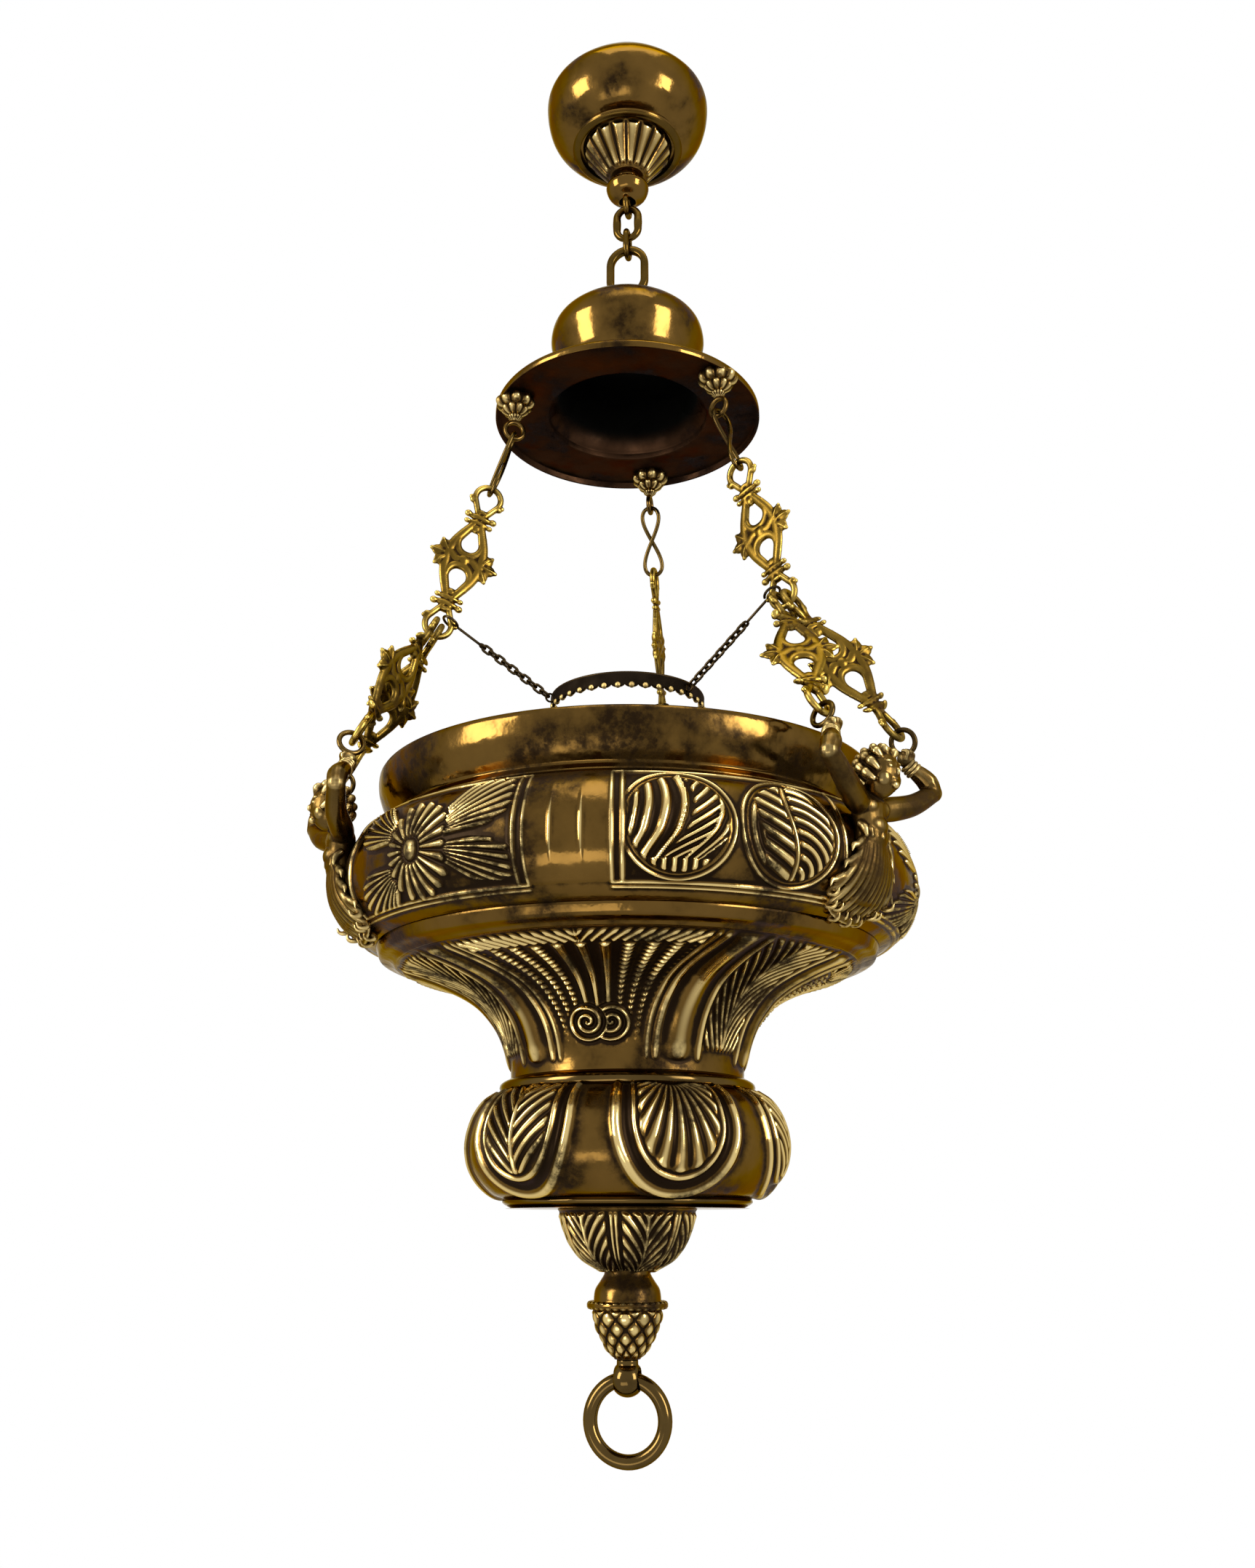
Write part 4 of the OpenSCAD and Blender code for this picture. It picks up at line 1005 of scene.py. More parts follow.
def link_side(heap, side):
    """One bar from knot to knot, the cusps of its round openings, and the leaf at its corner."""
    for end in (-1, 1):
        bar = [(side * x, end * y) for x, y in ((1.4, 29.0), (5.4, 20.5), (9.2, 11.5), (11.4, 1.0))]
        stroke(heap, bar, (2.6, 3.0, 3.3, 3.8))
        arc = np.radians(np.linspace(-88, 28, 12))
        cusp = [(side * OPENING_R * math.cos(a), end * (OPENING_Y + OPENING_R * math.sin(a))) for a in arc]
        stroke(heap, cusp, (3.2, 2.8, 2.4, 1.6), 18)
        ball(heap, (side * 6.6, end * 19.4, 0), (2.6, 2.2, 1.8), 10, 12)
    link_leaf(heap, side)


def openwork_link():
    """One link in its own plane, in metres."""
    heap = Heap()
    for end in (-1, 1):
        link_eye(heap, end)
        link_knot(heap, end)
    for side in (-1, 1):
        link_side(heap, side)
    stroke(heap, ((-10.5, -2.4), (-5, 0.8), (0, 0), (5, -0.8), (10.5, 2.4)), (3.8, 3.6, 4.0, 3.6, 3.8))
    ball(heap, (0, 0, 0), (4.4, 4.4, 2.6), 12, 16)
    points, faces, relief = melted(heap.scaled(MM).mesh("link"), LINK_VOXEL * MM, 2)
    link = Heap()
    link.add(points, faces, 2.0 * relief - 0.1)
    return link


# Turn of a lower link's middle against its eyes, in degrees
TWIST = -45.0


def twisted(link, turn):
    """The same link with its middle turned about its length, and its eyes left as they are."""
    other = Heap()
    for points, faces, relief in zip(link.points, link.faces, link.relief):
        x, y, z = points.T
        angle = math.radians(turn) * smooth_step(KNOT_Y + 6.0, KNOT_Y - 6.0, np.abs(y) / MM)
        across = x * np.cos(angle) + z * np.sin(angle)
        through = z * np.cos(angle) - x * np.sin(angle)
        other.add(np.stack((across, y, through), axis=1), faces, relief)
    return other


# From a link's own plane: across it becomes the radius, along it the height below its top
UPRIGHT = Matrix(((1, 0, 0, 0), (0, 0, -1, 0), (0, 1, 0, -LINK_HALF * MM), (0, 0, 0, 1)))


def hung(place, lean, side):
    """Moves what hangs from the origin to a place on a chain, leaning outward."""
    return at_chain(side) @ Matrix.Translation((place[0], 0, place[1])) @ turn_by(-lean, "Y")


# Angles in degrees by which the links lean outward, and by which each of a pair spreads sideways
UPPER_LEAN = 17.6
LOWER_LEAN = 28.0
SPLAY = 18.75
# Middle of the gap between the pair, and half the pair's pitch, across the link
PAIR_SHIFT = 1.1 * MM
PAIR_HALF = 2.25 * MM
# From a chain's joint to the top of its upper link
EIGHT_LENGTH = 44.95 * MM


def joint_place(name):
    """Radius and height of a joint."""
    x, y, z = JOINTS[name]["pos_m"]
    return math.hypot(x, y), z


def openwork_chain(side, link):
    """The upper link and the pair of lower links of one chain."""
    hook = joint_place(f"chain_{side}_sway")
    lean = math.radians(UPPER_LEAN)
    top = (hook[0] + EIGHT_LENGTH * math.sin(lean), hook[1] - EIGHT_LENGTH * math.cos(lean))
    node = f"upper_link_{side}"
    upper = link.placed(hung(top, UPPER_LEAN, side) @ UPRIGHT)
    new_object(node + "_cast", upper, f"chain_{side}", "gilt_brass", LINKS, node)
    place = hung(joint_place(f"pair_{side}_turn"), LOWER_LEAN, side)
    for letter, hand in (("a", -1), ("b", 1)):
        node = f"lower_link_{letter}_{side}"
        shift = Matrix.Translation((hand * PAIR_HALF + PAIR_SHIFT, 0, 0))
        turn = turn_by(hand * SPLAY, "X") @ turn_by(90, "Z")
        lower = twisted(link, TWIST).placed(place @ shift @ turn @ UPRIGHT)
        new_object(node + "_cast", lower, f"pair_{side}", "gilt_brass", LINKS, node)


def figure_eight(side):
    """One wire bent into an eight, crossing itself in the middle."""
    node = f"figure_eight_{side}"
    middle, axes, size = own_frame(np.vstack(loose_parts(node)))
    wire = size[2] / 2
    t = circle(96)
    path = ((size[0] / 2 - wire) * np.cos(t), (size[1] / 2 - wire) * np.sin(2 * t), wire * np.sin(t))
    heap = Heap()
    tube(heap, np.stack(path, axis=1) @ axes + middle, wire, closed=True, sides=12)
    new_object(node + "_wire", heap, f"chain_{side}", "gilt_brass", WIRE, node)


# Flower cups under the brim: radius and depth below the seat, in millimetres
FLOWER_CUP = ((0.1, 0.3), (9.6, 0.3), (12.6, -1.4), (13.0, -3.8), (11.2, -6.4), (7.6, -7.4))
FLOWER_CALYX = ((7.4, -6.6), (9.0, -8.0), (8.8, -9.8), (6.4, -11.8), (3.6, -12.8))
FLOWER_BEAD = ((3.0, -12.2), (4.4, -13.4), (4.4, -14.8), (2.8, -16.2), (2.0, -17.2), (0.1, -17.8))


def lobed_turning(heap, outline, lobes, depth, phase=0.0, columns=96):
    """A turned shape whose wall is pressed into lobes, drawn in metres about Z."""
    curve = spline(np.array(outline), 28) * MM
    angle = circle(columns)[None, :]
    lobe = np.abs(np.cos(lobes * angle / 2 + phase)) ** 0.7
    radius = curve[:, :1] * (1 - depth * (1 - lobe) * smooth_step(0.0, 0.006, curve[:, :1]))
    shade = np.broadcast_to(2 * lobe - 1.2 if depth else 0.0, radius.shape)
    heap.add(about_axis(radius, angle, curve[:, 1:]), grid_faces(len(curve), columns, False), shade.ravel())


# Height of the brim's underside and of the middle of a rosette's eye
SEAT_Z = -274.1 * MM
ROSETTE_EYE_Z = -298.1 * MM
ROSETTE_EYE_R = 6.0 * MM
ROSETTE_WIRE = 1.6 * MM


def arc_path(middle, radius, across, up, angles):
    """Part of a circle about a middle, in the plane of two directions."""
    t = angles[:, None]
    return np.asarray(middle) + radius * (np.cos(t) * np.asarray(across) + np.sin(t) * np.asarray(up))


def ring_path(middle, radius, across, up, count=48):
    """A whole circle."""
    return arc_path(middle, radius, across, up, circle(count))


def rosette(side):
    """A flower of three lobed cups under the brim, with the eye for the chain."""
    node = f"rosette_{side}"
    heap = Heap()
    lobed_turning(heap, FLOWER_CUP, 9, 0.2)
    lobed_turning(heap, FLOWER_CALYX, 9, 0.22, np.pi / 2)
    lobed_turning(heap, FLOWER_BEAD, 14, 0.06)
    eye = ring_path((0, 0, ROSETTE_EYE_Z - SEAT_Z), ROSETTE_EYE_R, (1, 0, 0), (0, 0, 1))
    tube(heap, eye, ROSETTE_WIRE, closed=True)
    seat = Matrix.Translation((joint_place(f"chain_{side}_sway")[0], 0, SEAT_Z))
    new_object(node + "_flower", heap.placed(at_chain(side) @ seat), "cap", "aged_brass", CAST, node)


# Thickness of the fine chains' wire, against the CAD's
FINE_THICK = 1.2


def fine_chain(side):
    """Small wire links, and the long hook with an open loop at the top and an eye at the foot."""
    node = f"fine_chain_{side}"
    solids = sorted(loose_parts(node), key=lambda points: np.ptp(points, axis=0).max())
    heap = Heap()
    for points in solids[:-1]:
        wire_link(heap, points, sides=10, thick=FINE_THICK)
    link_size = own_frame(solids[0])[2]
    middle, axes, size = own_frame(solids[-1])
    up = axes[0] if axes[0][2] > 0 else -axes[0]
    wire = size[2] / 2
    top_r, foot_r = size[1] / 2 - wire, link_size[1] / 2 - wire
    top = middle + up * (size[0] / 2 - size[1] / 2)
    foot = middle - up * (size[0] / 2 - foot_r - wire)
    hook = arc_path(top, top_r, axes[1], up, np.radians(np.linspace(-60, 270, 30)))
    eye = arc_path(foot, foot_r, axes[1], up, np.radians(np.linspace(90, 420, 20)))
    shank = even(np.vstack((hook[-1], eye[0])), 12)[1:-1]
    tube(heap, np.vstack((hook, shank, eye)), FINE_THICK * wire, sides=10)
    new_object(node + "_wire", heap, "glass_ring", "dark_brass", DARK, node)


# Ring for the glass: the radius near which its band lies, and how near
RING_R = 47.7 * MM
RING_REACH = 1.0 * MM
# Its beads, the height of the notches between them, and the roll along its top
RING_BEADS = 36
BEAD_R = 1.9 * MM
BEAD_Z = 1.3 * MM
RING_NOTCH = 1.8 * MM
ROLL_R = 1.0 * MM
RING_EYE_R = 2.6 * MM
FINE_WIRE = 0.7 * MM


def glass_ring():
    """A band painted dark outside as shade and bright gold inside as light, with a rolled top, a row of beads
    along its lower edge and three eyes.
    """
    points = np.vstack(loose_parts("glass_ring"))
    band = points[np.abs(np.hypot(points[:, 0], points[:, 1]) - RING_R) < RING_REACH]
    radius = np.hypot(band[:, 0], band[:, 1])
    inner, outer = radius.min(), radius.max()
    low, high = band[:, 2].min(), band[:, 2].max()
    middle = (inner + outer) / 2
    heap = Heap()
    columns = RING_BEADS * 12
    angle = circle(columns)[None, :]
    lobe = RING_NOTCH * np.abs(np.sin(RING_BEADS * angle / 2)) ** 0.6
    section = spline([(outer, high - 1 * MM), (outer, low + 2 * MM), (outer, low)], 12)
    section = np.vstack((section, [(inner, low)], spline([(inner, low + 1e-4), (inner, high - 1 * MM)], 12)))
    drop = smooth_step(low + 4 * MM, low, section[:, 1:])
    wall = about_axis(section[:, :1], angle, section[:, 1:] + drop * (RING_NOTCH - lobe))
    # Painted shade and light: the outer wall sinks into dark patina, the inner wall is rubbed bright
    shade = np.repeat(section[:, 0] < middle, columns) * 1.6 - 0.6
    heap.add(wall, grid_faces(len(section), columns, True), shade)
    roll = ring_path((0, 0, high - 0.9 * MM), middle, (1, 0, 0), (0, 1, 0), 160)
    tube(heap, roll, ROLL_R, closed=True, sides=8)
    for i in range(RING_BEADS):
        turn = 2 * math.pi * (i + 0.5) / RING_BEADS
        place = (middle * math.cos(turn), middle * math.sin(turn), low + BEAD_Z)
        ball(heap, place, BEAD_R, 10, 14, relief=0.6)
    for side in SIDES:
        out = np.array(at_chain(side).to_3x3() @ Vector((1, 0, 0)))
        reach = (points @ out).max()
        place = out * (reach - RING_EYE_R - FINE_WIRE) + np.array((0, 0, (low + high) / 2))
        tube(heap, ring_path(place, RING_EYE_R, out, (0, 0, 1), 28), FINE_WIRE, closed=True, sides=8)
    new_object("glass_ring_band", heap, "glass_ring", "dark_brass", RING_SHADE_AND_LIGHT, "glass_ring")


# Eye on the cap: its collar as radius and height over the dome, in millimetres
CAP_EYE_R = 7.0 * MM
CAP_EYE_WIRE = 2.0 * MM
CAP_STEM_R = 3.0 * MM
DOME_Z = -188.1 * MM
EYE_COLLAR = ((0.1, 4.4), (3.4, 4.2), (4.8, 3.4), (4.2, 2.6), (6.8, 1.6), (7.8, 0.4), (7.6, -0.4),
              (3.0, -0.6))


def hanging_eye(heap, height):
    """An upright ring on the lamp's axis."""
    ring = ring_path((0, 0, height), CAP_EYE_R, (0, 1, 0), (0, 0, 1))
    tube(heap, ring, CAP_EYE_WIRE, closed=True)


def cap_eye():
    """The eye on the cap, its turned collar and its stem."""
    points = np.vstack(loose_parts("cap_eye"))
    heap = Heap()
    lobed_turning(heap, EYE_COLLAR, 1, 0.0)
    heap = heap.placed(Matrix.Translation((0, 0, DOME_Z)))
    hanging_eye(heap, points[:, 2].max() - CAP_EYE_R - CAP_EYE_WIRE)
    heights = np.linspace(points[:, 2].min() + 2 * MM, DOME_Z, 8)
    tube(heap, np.stack((0 * heights, 0 * heights, heights), axis=1), CAP_STEM_R, sides=20)
    new_object("cap_eye_cast", heap, "cap", "gilt_brass", GILT, "cap_eye")


def knob_eye():
    """The eye under the rose's knob, in which the top link hangs."""
    low = min(vertex.co.z for vertex in NODES["rose_knob"].data.vertices)
    heap = Heap()
    hanging_eye(heap, low + CAP_EYE_R + CAP_EYE_WIRE)
    new_object("rose_knob_eye", heap, "canopy", "gilt_brass", GILT)


# Collar round the acorn
NOTCHES = 32
COLLAR_WIRE = 2.3 * MM


def acorn_collar():
    """A ring of small pads round the acorn, over the CAD's plain one."""
    points = np.vstack(loose_parts("acorn_finial"))
    radius = np.hypot(points[:, 0], points[:, 1])
    edge = points[radius > radius.max() - 0.1 * MM]
    middle = (0, 0, (edge[:, 2].min() + edge[:, 2].max()) / 2)
    count = NOTCHES * 8
    pad = np.abs(np.sin(np.pi * NOTCHES * np.arange(count) / count)) ** 0.4
    heap = Heap()
    ring = ring_path(middle, radius.max() - COLLAR_WIRE, (1, 0, 0), (0, 1, 0), count)
    wire = COLLAR_WIRE * (0.72 + 0.28 * pad)
    tube(heap, ring, wire, closed=True, sides=14, square=0.75, relief=1.4 * pad - 0.9)
    new_object("acorn_collar", heap, "bowl", "aged_brass", AGED)


def recast(node, body, slot, material, voxel, passes):
    """A CAD node again as a smooth casting."""
    points, faces, relief = melted(NODES[node].data.copy(), voxel, passes)
    new_object(node + "_cast", quad_mesh(node, points, faces, relief), body, slot, material, node)


# Putti: a half figure with raised arms that ends in a skirt of leaves, drawn in millimetres as
# radius from the lamp's axis, sideways, and height

FIST = np.array((176.3, 36.0, -546.0))
HEAD = np.array((181.0, 0.0, -566.0))
CHEST = np.array((174.5, 0.0, -585.0))
WAIST = np.array((174.0, 0.0, -596.0))
SHOULDER = np.array((175.0, 13.5, -582.0))
ELBOW = np.array((184.0, 51.0, -566.0))
WRIST = FIST + (1.2, 3.0, -6.0)
# How far the middle of a forearm stands off the line from elbow to wrist
FOREARM_BEND = np.array((2.0, 2.0, -0.5))
CURLS = 44
# Turn from one lock to the next, in radians, which spreads them evenly
GOLDEN_TURN = 2.39996
# Grid on which the figure's balls melt together
VOXEL = 0.5
# How deep the figure's edge lies under the bowl's surface
SINK = 0.6


def limb(heap, path, radii, count=22):
    """A row of balls along a smooth path, to be melted together."""
    line = spline(path, count)
    for place, radius in zip(line, spread(radii, count)):
        ball(heap, place, radius, 10, 14)


def mirrored(points, side):
    """One point or several, on the given side of the figure."""
    return np.asarray(points) * (1, side, 1)


def putto_arm(heap, side):
    """Upper arm, forearm, wrist and a fist with four fingers."""
    upper = (SHOULDER + (-1.0, -7.0, -1.0), SHOULDER, (SHOULDER + ELBOW) / 2 + (1.5, 0, -2.5), ELBOW)
    limb(heap, mirrored(upper, side), (6.6, 7.0, 6.4, 5.8, 5.2), 56)
    fore = (ELBOW, (ELBOW + WRIST) / 2 + FOREARM_BEND, WRIST)
    limb(heap, mirrored(fore, side), (5.3, 5.9, 5.0, 3.7), 40)
    ball(heap, mirrored(FIST + (0.3, 0.6, -1.4), side), (5.0, 4.9, 5.0), 12, 16)
    for k in range(4):
        knuckle = FIST + np.array((4.3 - 0.5 * abs(k - 1.5), -2.9 + 2.0 * k, 0.6 - 0.5 * abs(k - 1.3)))
        finger = (knuckle + (-2.5, 0, 2.4), knuckle + (0.2, 0, 1.0), knuckle + (-1.0, 0, -2.6))
        limb(heap, mirrored(finger, side), (1.2, 1.35, 1.1), 8)


def putto_head(heap):
    """Round head that looks outward: brow, cheeks, eyes, small nose, lips, chin, ears and locks."""
    ball(heap, HEAD, (11.6, 11.0, 13.8), 20, 28)
    for place, radii in (
        ((7.2, 0, -4.6), (3.8, 5.2, 5.0)), ((9.9, 0, -8.0), (2.0, 2.6, 2.0)),
        ((11.4, 0, -0.8), (2.0, 1.5, 2.2)), ((10.2, 0, 2.4), (1.4, 1.2, 2.8)),
        ((10.8, 0, -4.7), (0.8, 2.6, 0.6)), ((10.5, 0, -5.9), (0.8, 2.0, 0.6)),
    ):
        ball(heap, HEAD + place, radii, 10, 14)
    for side in (-1, 1):
        ball(heap, HEAD + (5.0, side * 4.2, -3.8), (5.2, 5.4, 5.8), 14, 18)
        ball(heap, HEAD + (9.4, side * 3.9, 4.4), (1.6, 3.1, 1.0), 8, 12)
        ball(heap, HEAD + (10.0, side * 3.8, 1.7), (1.3, 2.0, 1.2), 10, 14)
        ball(heap, HEAD + (-0.6, side * 10.8, -0.8), (2.0, 1.3, 3.0), 8, 12)
    chance = np.random.default_rng(7)
    for k in range(CURLS):
        turn = k * GOLDEN_TURN
        up = 1 - 1.35 * (k + 0.5) / CURLS
        aside = math.sqrt(max(0.0, 1 - up * up))
        way = np.array((math.cos(turn) * aside, math.sin(turn) * aside, up))
        on_face = way[0] > 0.3 and way[2] < 0.62
        if on_face:
            continue
        root = HEAD + way * (10.8, 10.2, 12.8)
        fall = (0.0, 0.0, -0.6 - 0.5 * chance.random())
        swirl = np.cross(way, (0.0, 0.0, 1.0)) * math.copysign(1.0, way[1]) + fall
        tip = root + way * 1.2 + swirl * 3.6
        lock = (root - swirl * 2.2, root + way * 2.4, tip, tip - way * 1.6 - swirl)
        limb(heap, lock, (1.7, 2.6, 1.9, 1.0), 10)


def bowl_radius():
    """Outer radius of the bowl against height, from the rim down to the moulding."""
    rows = []
    for node in ("bowl_rim", "bowl_belly", "belly_moulding"):
        curve, number = fine_curve(profile(node), 1.0 * MM)
        rows.append(curve[number > 0])
    rows = np.vstack(rows)
    order = np.argsort(rows[:, 1])
    return rows[order, 1], rows[order, 0]


BOWL_HEIGHTS, BOWL_RADII = bowl_radius()


def on_bowl(points, sink):
    """Points that lie inside the bowl's wall, drawn out to just under its surface."""
    radius = np.hypot(points[:, 0], points[:, 1])
    least = np.interp(points[:, 2], BOWL_HEIGHTS, BOWL_RADII) - sink
    grow = np.maximum(radius, least) / radius
    return points * np.stack((grow, grow, np.ones_like(grow)), axis=1)


# Leaf skirt: heights of its waist and foot, half widths there and ribs on each side
SKIRT_TOP = -598.0
SKIRT_FOOT = -643.0
SKIRT_HALF = (8.5, 25.0)
RIBS = 5


def over_bowl(sideways, height, proud):
    """A point over the bowl's wall, by its distance along the wall from the figure's middle."""
    radius = np.interp(height * MM, BOWL_HEIGHTS, BOWL_RADII) / MM
    turn = sideways / radius
    return np.array(((radius + proud) * math.cos(turn), (radius + proud) * math.sin(turn), height))


def leaf_rib(heap, share, lean, proud, thick):
    """One rib of the leaf: from the waist down over the bowl, outward by its share, with a rolled tip."""
    foot = SKIRT_FOOT + 9.0 * share * share + lean
    path = []
    for t in np.linspace(0, 1, 8):
        sideways = share * (SKIRT_HALF[0] + (SKIRT_HALF[1] - SKIRT_HALF[0]) * t ** 1.4)
        height = SKIRT_TOP + (foot - SKIRT_TOP) * t
        path.append(over_bowl(sideways, height, proud * (1 - 0.45 * t) * (1 - 0.45 * share * share)))
    out = over_bowl(SKIRT_HALF[1] * share, foot, 1.0) * (1, 1, 0)
    out = out / np.linalg.norm(out)
    roll = [path[-1] + step[0] * out + (0, 0, step[1]) for step in ((2.6, -1.8), (5.2, -1.4), (6.4, 0.8))]
    limb(heap, path + roll, (0.6 * thick, 0.8 * thick, thick, thick, 0.85 * thick, 0.3 * thick), 64)
    return path


def skirt(heap):
    """An acanthus leaf that hangs from the waist and opens downward, with lobed edges and a rolled foot."""
    for height, wide, thick in ((-606, 11, 4.5), (-617, 15, 4.0), (-628, 19, 3.5), (-637, 19, 2.5)):
        ball(heap, over_bowl(0, height, 0.0), (thick, wide, 8.0), 14, 24)
    for number in range(-RIBS, RIBS + 1):
        share = number / RIBS
        path = leaf_rib(heap, share, 2.0 * (number % 2), 7.5, 2.5)
        if abs(number) < RIBS:
            continue
        for k in (2, 4, 6):
            side = math.copysign(1.0, share)
            lobe = (path[k - 1], path[k] + (-0.4, 2.8 * side, 1.2), path[k] + (-1.2, 5.6 * side, 0.4),
                    path[k] + (-1.2, 7.4 * side, -3.0))
            limb(heap, lobe, (2.2, 2.2, 1.7, 0.5), 18)
    for k in range(-3, 4):
        tip = over_bowl(3.4 * k, SKIRT_TOP + 1.0, 9.5 - 0.9 * abs(k))
        limb(heap, (tip + (-2.5, 0, 2.5), tip, tip + (1.2, 0, -4.0)), (1.8, 2.3, 1.3), 8)


# Trunk from the neck to the hips: place and radii
TRUNK = (
    (CHEST + (-1.2, 0, 7.0), (5.6, 7.0, 5.0)), (CHEST + (-0.6, 0, 0.5), (8.6, 12.6, 7.0)),
    (CHEST + (-0.6, 0, -6.0), (8.2, 10.6, 7.0)), (CHEST + (0.0, 0, -11.0), (8.0, 10.4, 7.0)),
    (WAIST + (0.0, 0, -6.0), (7.6, 11.6, 7.0)),
)
TRUNK_BALLS = 26


def trunk(heap):
    """Chest and round belly as a close row of flattened balls."""
    rows = np.array([(*place, *radii) for place, radii in TRUNK])
    for row in np.stack([spread(column, TRUNK_BALLS) for column in rows.T], axis=1):
        ball(heap, row[:3], row[3:], 16, 24)
    ball(heap, CHEST + (3.8, 0, -9.5), (5.4, 7.6, 6.0), 16, 24)
    for side in (-1, 1):
        ball(heap, CHEST + (3.5, side * 5.2, 0.6), (4.3, 5.8, 4.8), 14, 20)


def cuffs(heap, side):
    """Three ribs round the wrist."""
    along = WRIST - (ELBOW + FOREARM_BEND)
    along = along / np.linalg.norm(along)
    across = np.cross(along, (0, 0, 1))
    across = across / np.linalg.norm(across)
    for step in range(3):
        middle = WRIST + along * (2.2 * step - 3.0)
        loop = ring_path(middle, 4.2 - 0.1 * step, across, np.cross(along, across), 28)
        tube(heap, mirrored(loop, side), 1.05, closed=True, sides=8, relief=0.6)


def putto_heap():
    """The whole figure at angle zero."""
    heap = Heap()
    limb(heap, (HEAD + (-3, 0, -8), CHEST + (0, 0, 4), CHEST + (1, 0, -4)), (5.2, 6.0, 7.0))
    trunk(heap)
    for side in (-1, 1):
        putto_arm(heap, side)
    putto_head(heap)
    skirt(heap)
    points, faces, relief = melted(heap.scaled(MM).mesh("putto"), VOXEL * MM, 5)
    bands = Heap()
    for side in (-1, 1):
        cuffs(bands, side)
    figure = bands.scaled(MM)
    figure.add(on_bowl(points, SINK * MM), faces, relief * 2.0)
    return figure


# Links, wires and figures in place of the CAD ones

wire_piece("top_link", "top_link", "gilt_brass", GILT, swell=0.25)
wire_piece("mid_link", "mid_link", "gilt_brass", GILT)
wire_piece("hook_link", "hook_link", "gilt_brass", GILT, square=0.55, sides=20, thick=0.95)
wire_piece("pull_ring", "pull_ring", "gilt_brass", POLISHED, sides=48)
cap_eye()
knob_eye()
glass_ring()
acorn_collar()
recast("ring_ball", "bowl", "gilt_brass", POLISHED, 0.3 * MM, 8)
LINK = openwork_link()
PUTTO = putto_heap()
for side in SIDES:
    rosette(side)
    figure_eight(side)
    openwork_chain(side, LINK)
    fine_chain(side)
    wire_piece(f"hand_rings_{side}", "bowl", "gilt_brass", WIRE, sides=16)
    figure = PUTTO.placed(at_chain(side))
    new_object(f"putto_{side}_cast", figure, "bowl", "cast_brass", CAST, f"putto_{side}")


# Materials and fine edges for the CAD's own pieces

PLAIN = {"gilt_brass": GILT, "aged_brass": AGED, "cast_brass": CAST, "dark_brass": DARK, "inner_brass": INNER,
         "clear_glass": GLASS, "cotton": COTTON}
for part in frame["record"]["subparts"]:
    cad = NODES[part["node"]]
    cad.data.materials.clear()
    cad.data.materials.append(PLAIN[part["material_slot"]])
    edge = cad.modifiers.new("edge", "BEVEL")
    edge.width = BEVEL
    edge.segments = 2
    edge.limit_method = "ANGLE"


# Floor, light and camera

FLOOR_RADIUS = 1.0
FLOOR_HEIGHT = -1.9
FLOOR_ALPHA = 0.45
LAMP_COLOUR = (1.0, 0.97, 0.92)
WHITE = (1.0, 1.0, 1.0)
# What the world adds to the light on the lamp
GLOOM = (0.013, 0.011, 0.009)


def soft_floor():
    """A pale round floor well below the lamp, which fades out at its edge."""
    mesh = bpy.data.meshes.new("floor")
    ring = about_axis(FLOOR_RADIUS, circle(96), FLOOR_HEIGHT)
    mesh.from_pydata(ring.tolist(), [], [list(range(len(ring)))])
    material, graph, inputs, place = surface("pale_floor")
    mottle = graph.mix(graph.noise(place, 3.0, 3.0), (0.78, 0.77, 0.75), (0.84, 0.83, 0.81))
    axes = graph.new("SeparateXYZ", Vector=place).outputs
    x_squared, y_squared = (graph.math("MULTIPLY", axes[key], axes[key]) for key in "XY")
    fade = graph.ramp(graph.math("ADD", x_squared, y_squared), 0.12, 0.97, FLOOR_ALPHA, 0.0)
    graph.put(inputs, Base_Color=mottle, Roughness=0.8, Alpha=fade)
    mesh.materials.append(material)
    floor = in_scene("floor", mesh)


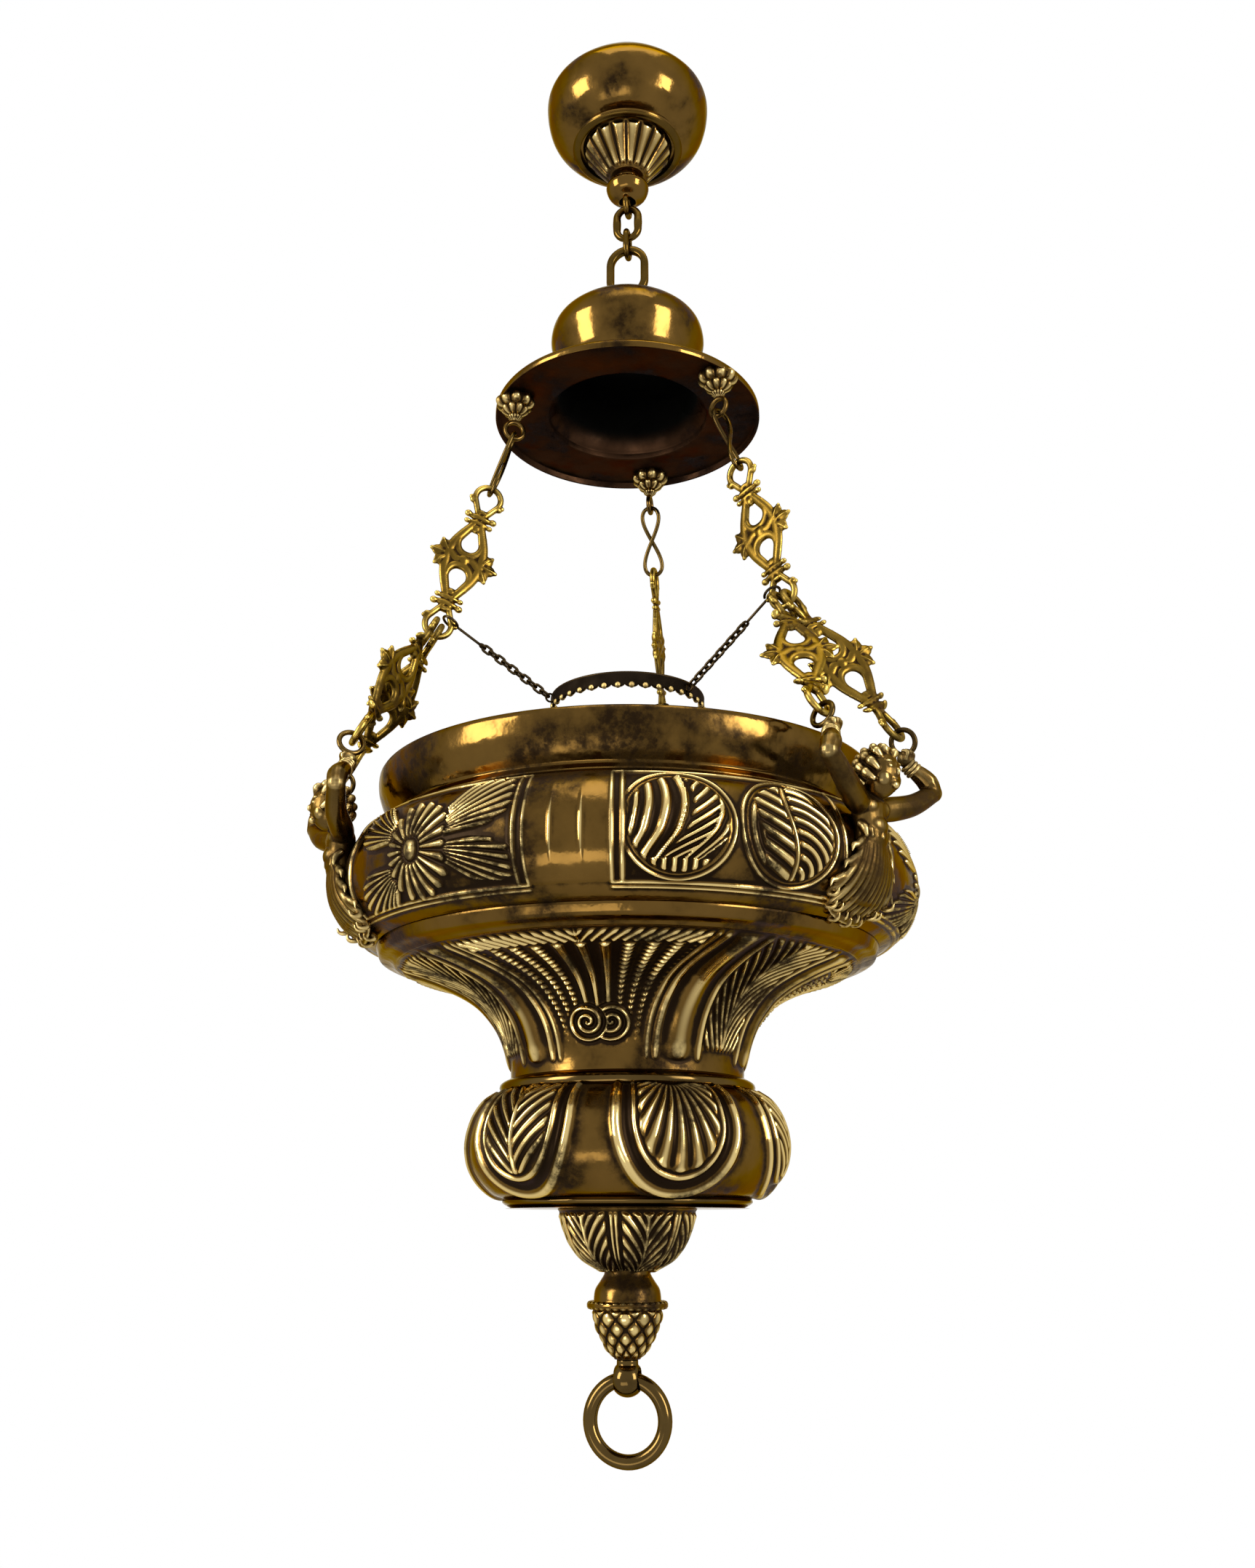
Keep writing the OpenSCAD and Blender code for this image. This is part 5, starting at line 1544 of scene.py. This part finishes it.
def soft_world():
    """White for the eye, in the metal and through the glass; it adds next to no light."""
    world = bpy.data.worlds.new("studio")
    bpy.context.scene.world = world
    graph = Graph(world)
    rays = graph.new("LightPath").outputs
    white = graph.math("MAXIMUM", rays["Is Camera Ray"], rays["Is Transmission Ray"])
    white = graph.math("MAXIMUM", white, rays["Is Glossy Ray"])
    graph.put(graph.nodes["Background"].inputs, Color=graph.mix(white, GLOOM, WHITE), Strength=1.0)


def area_light(name, place, target, width, height, watts):
    """A soft lamp that looks at a target."""
    data = bpy.data.lights.new(name, "AREA")
    data.shape = "RECTANGLE"
    data.size = width
    data.size_y = height
    data.energy = watts
    data.color = LAMP_COLOUR
    lamp = in_scene(name, data)
    lamp.location = place
    lamp.rotation_euler = (Vector(target) - Vector(place)).to_track_quat("-Z", "Y").to_euler()


MIDDLE = (0.0, 0.0, -0.55)
soft_floor()
soft_world()
area_light("window_left", (-1.5, -1.2, -0.1), MIDDLE, 0.7, 1.3, 46)
area_light("window_right", (1.7, -0.9, -0.2), MIDDLE, 0.6, 1.2, 38)
area_light("overhead", (0.2, -0.6, 1.2), MIDDLE, 1.4, 0.9, 16)
area_light("low_fill", (-0.3, -1.3, -1.5), (0.0, 0.0, -0.7), 1.2, 0.5, 6)

# The camera's distance from the lamp's axis, height, turn about the axis and tilt
CAMERA_DISTANCE = 0.845
CAMERA_HEIGHT = -0.797
CAMERA_TURN = math.radians(12)
CAMERA_TILT = math.radians(17.3)
FOCAL_PIXELS = 1950.0
IMAGE_HEIGHT = 2156.0

lens = bpy.data.cameras.new("camera")
lens.sensor_width = 36.0
lens.lens = FOCAL_PIXELS * lens.sensor_width / IMAGE_HEIGHT
camera = in_scene("camera", lens)
camera.location = (CAMERA_DISTANCE * math.sin(CAMERA_TURN), -CAMERA_DISTANCE * math.cos(CAMERA_TURN),
                   CAMERA_HEIGHT)
camera.rotation_euler = (math.pi / 2 + CAMERA_TILT, 0.0, CAMERA_TURN)
bpy.context.scene.camera = camera
bpy.context.scene.view_settings.view_transform = "Standard"
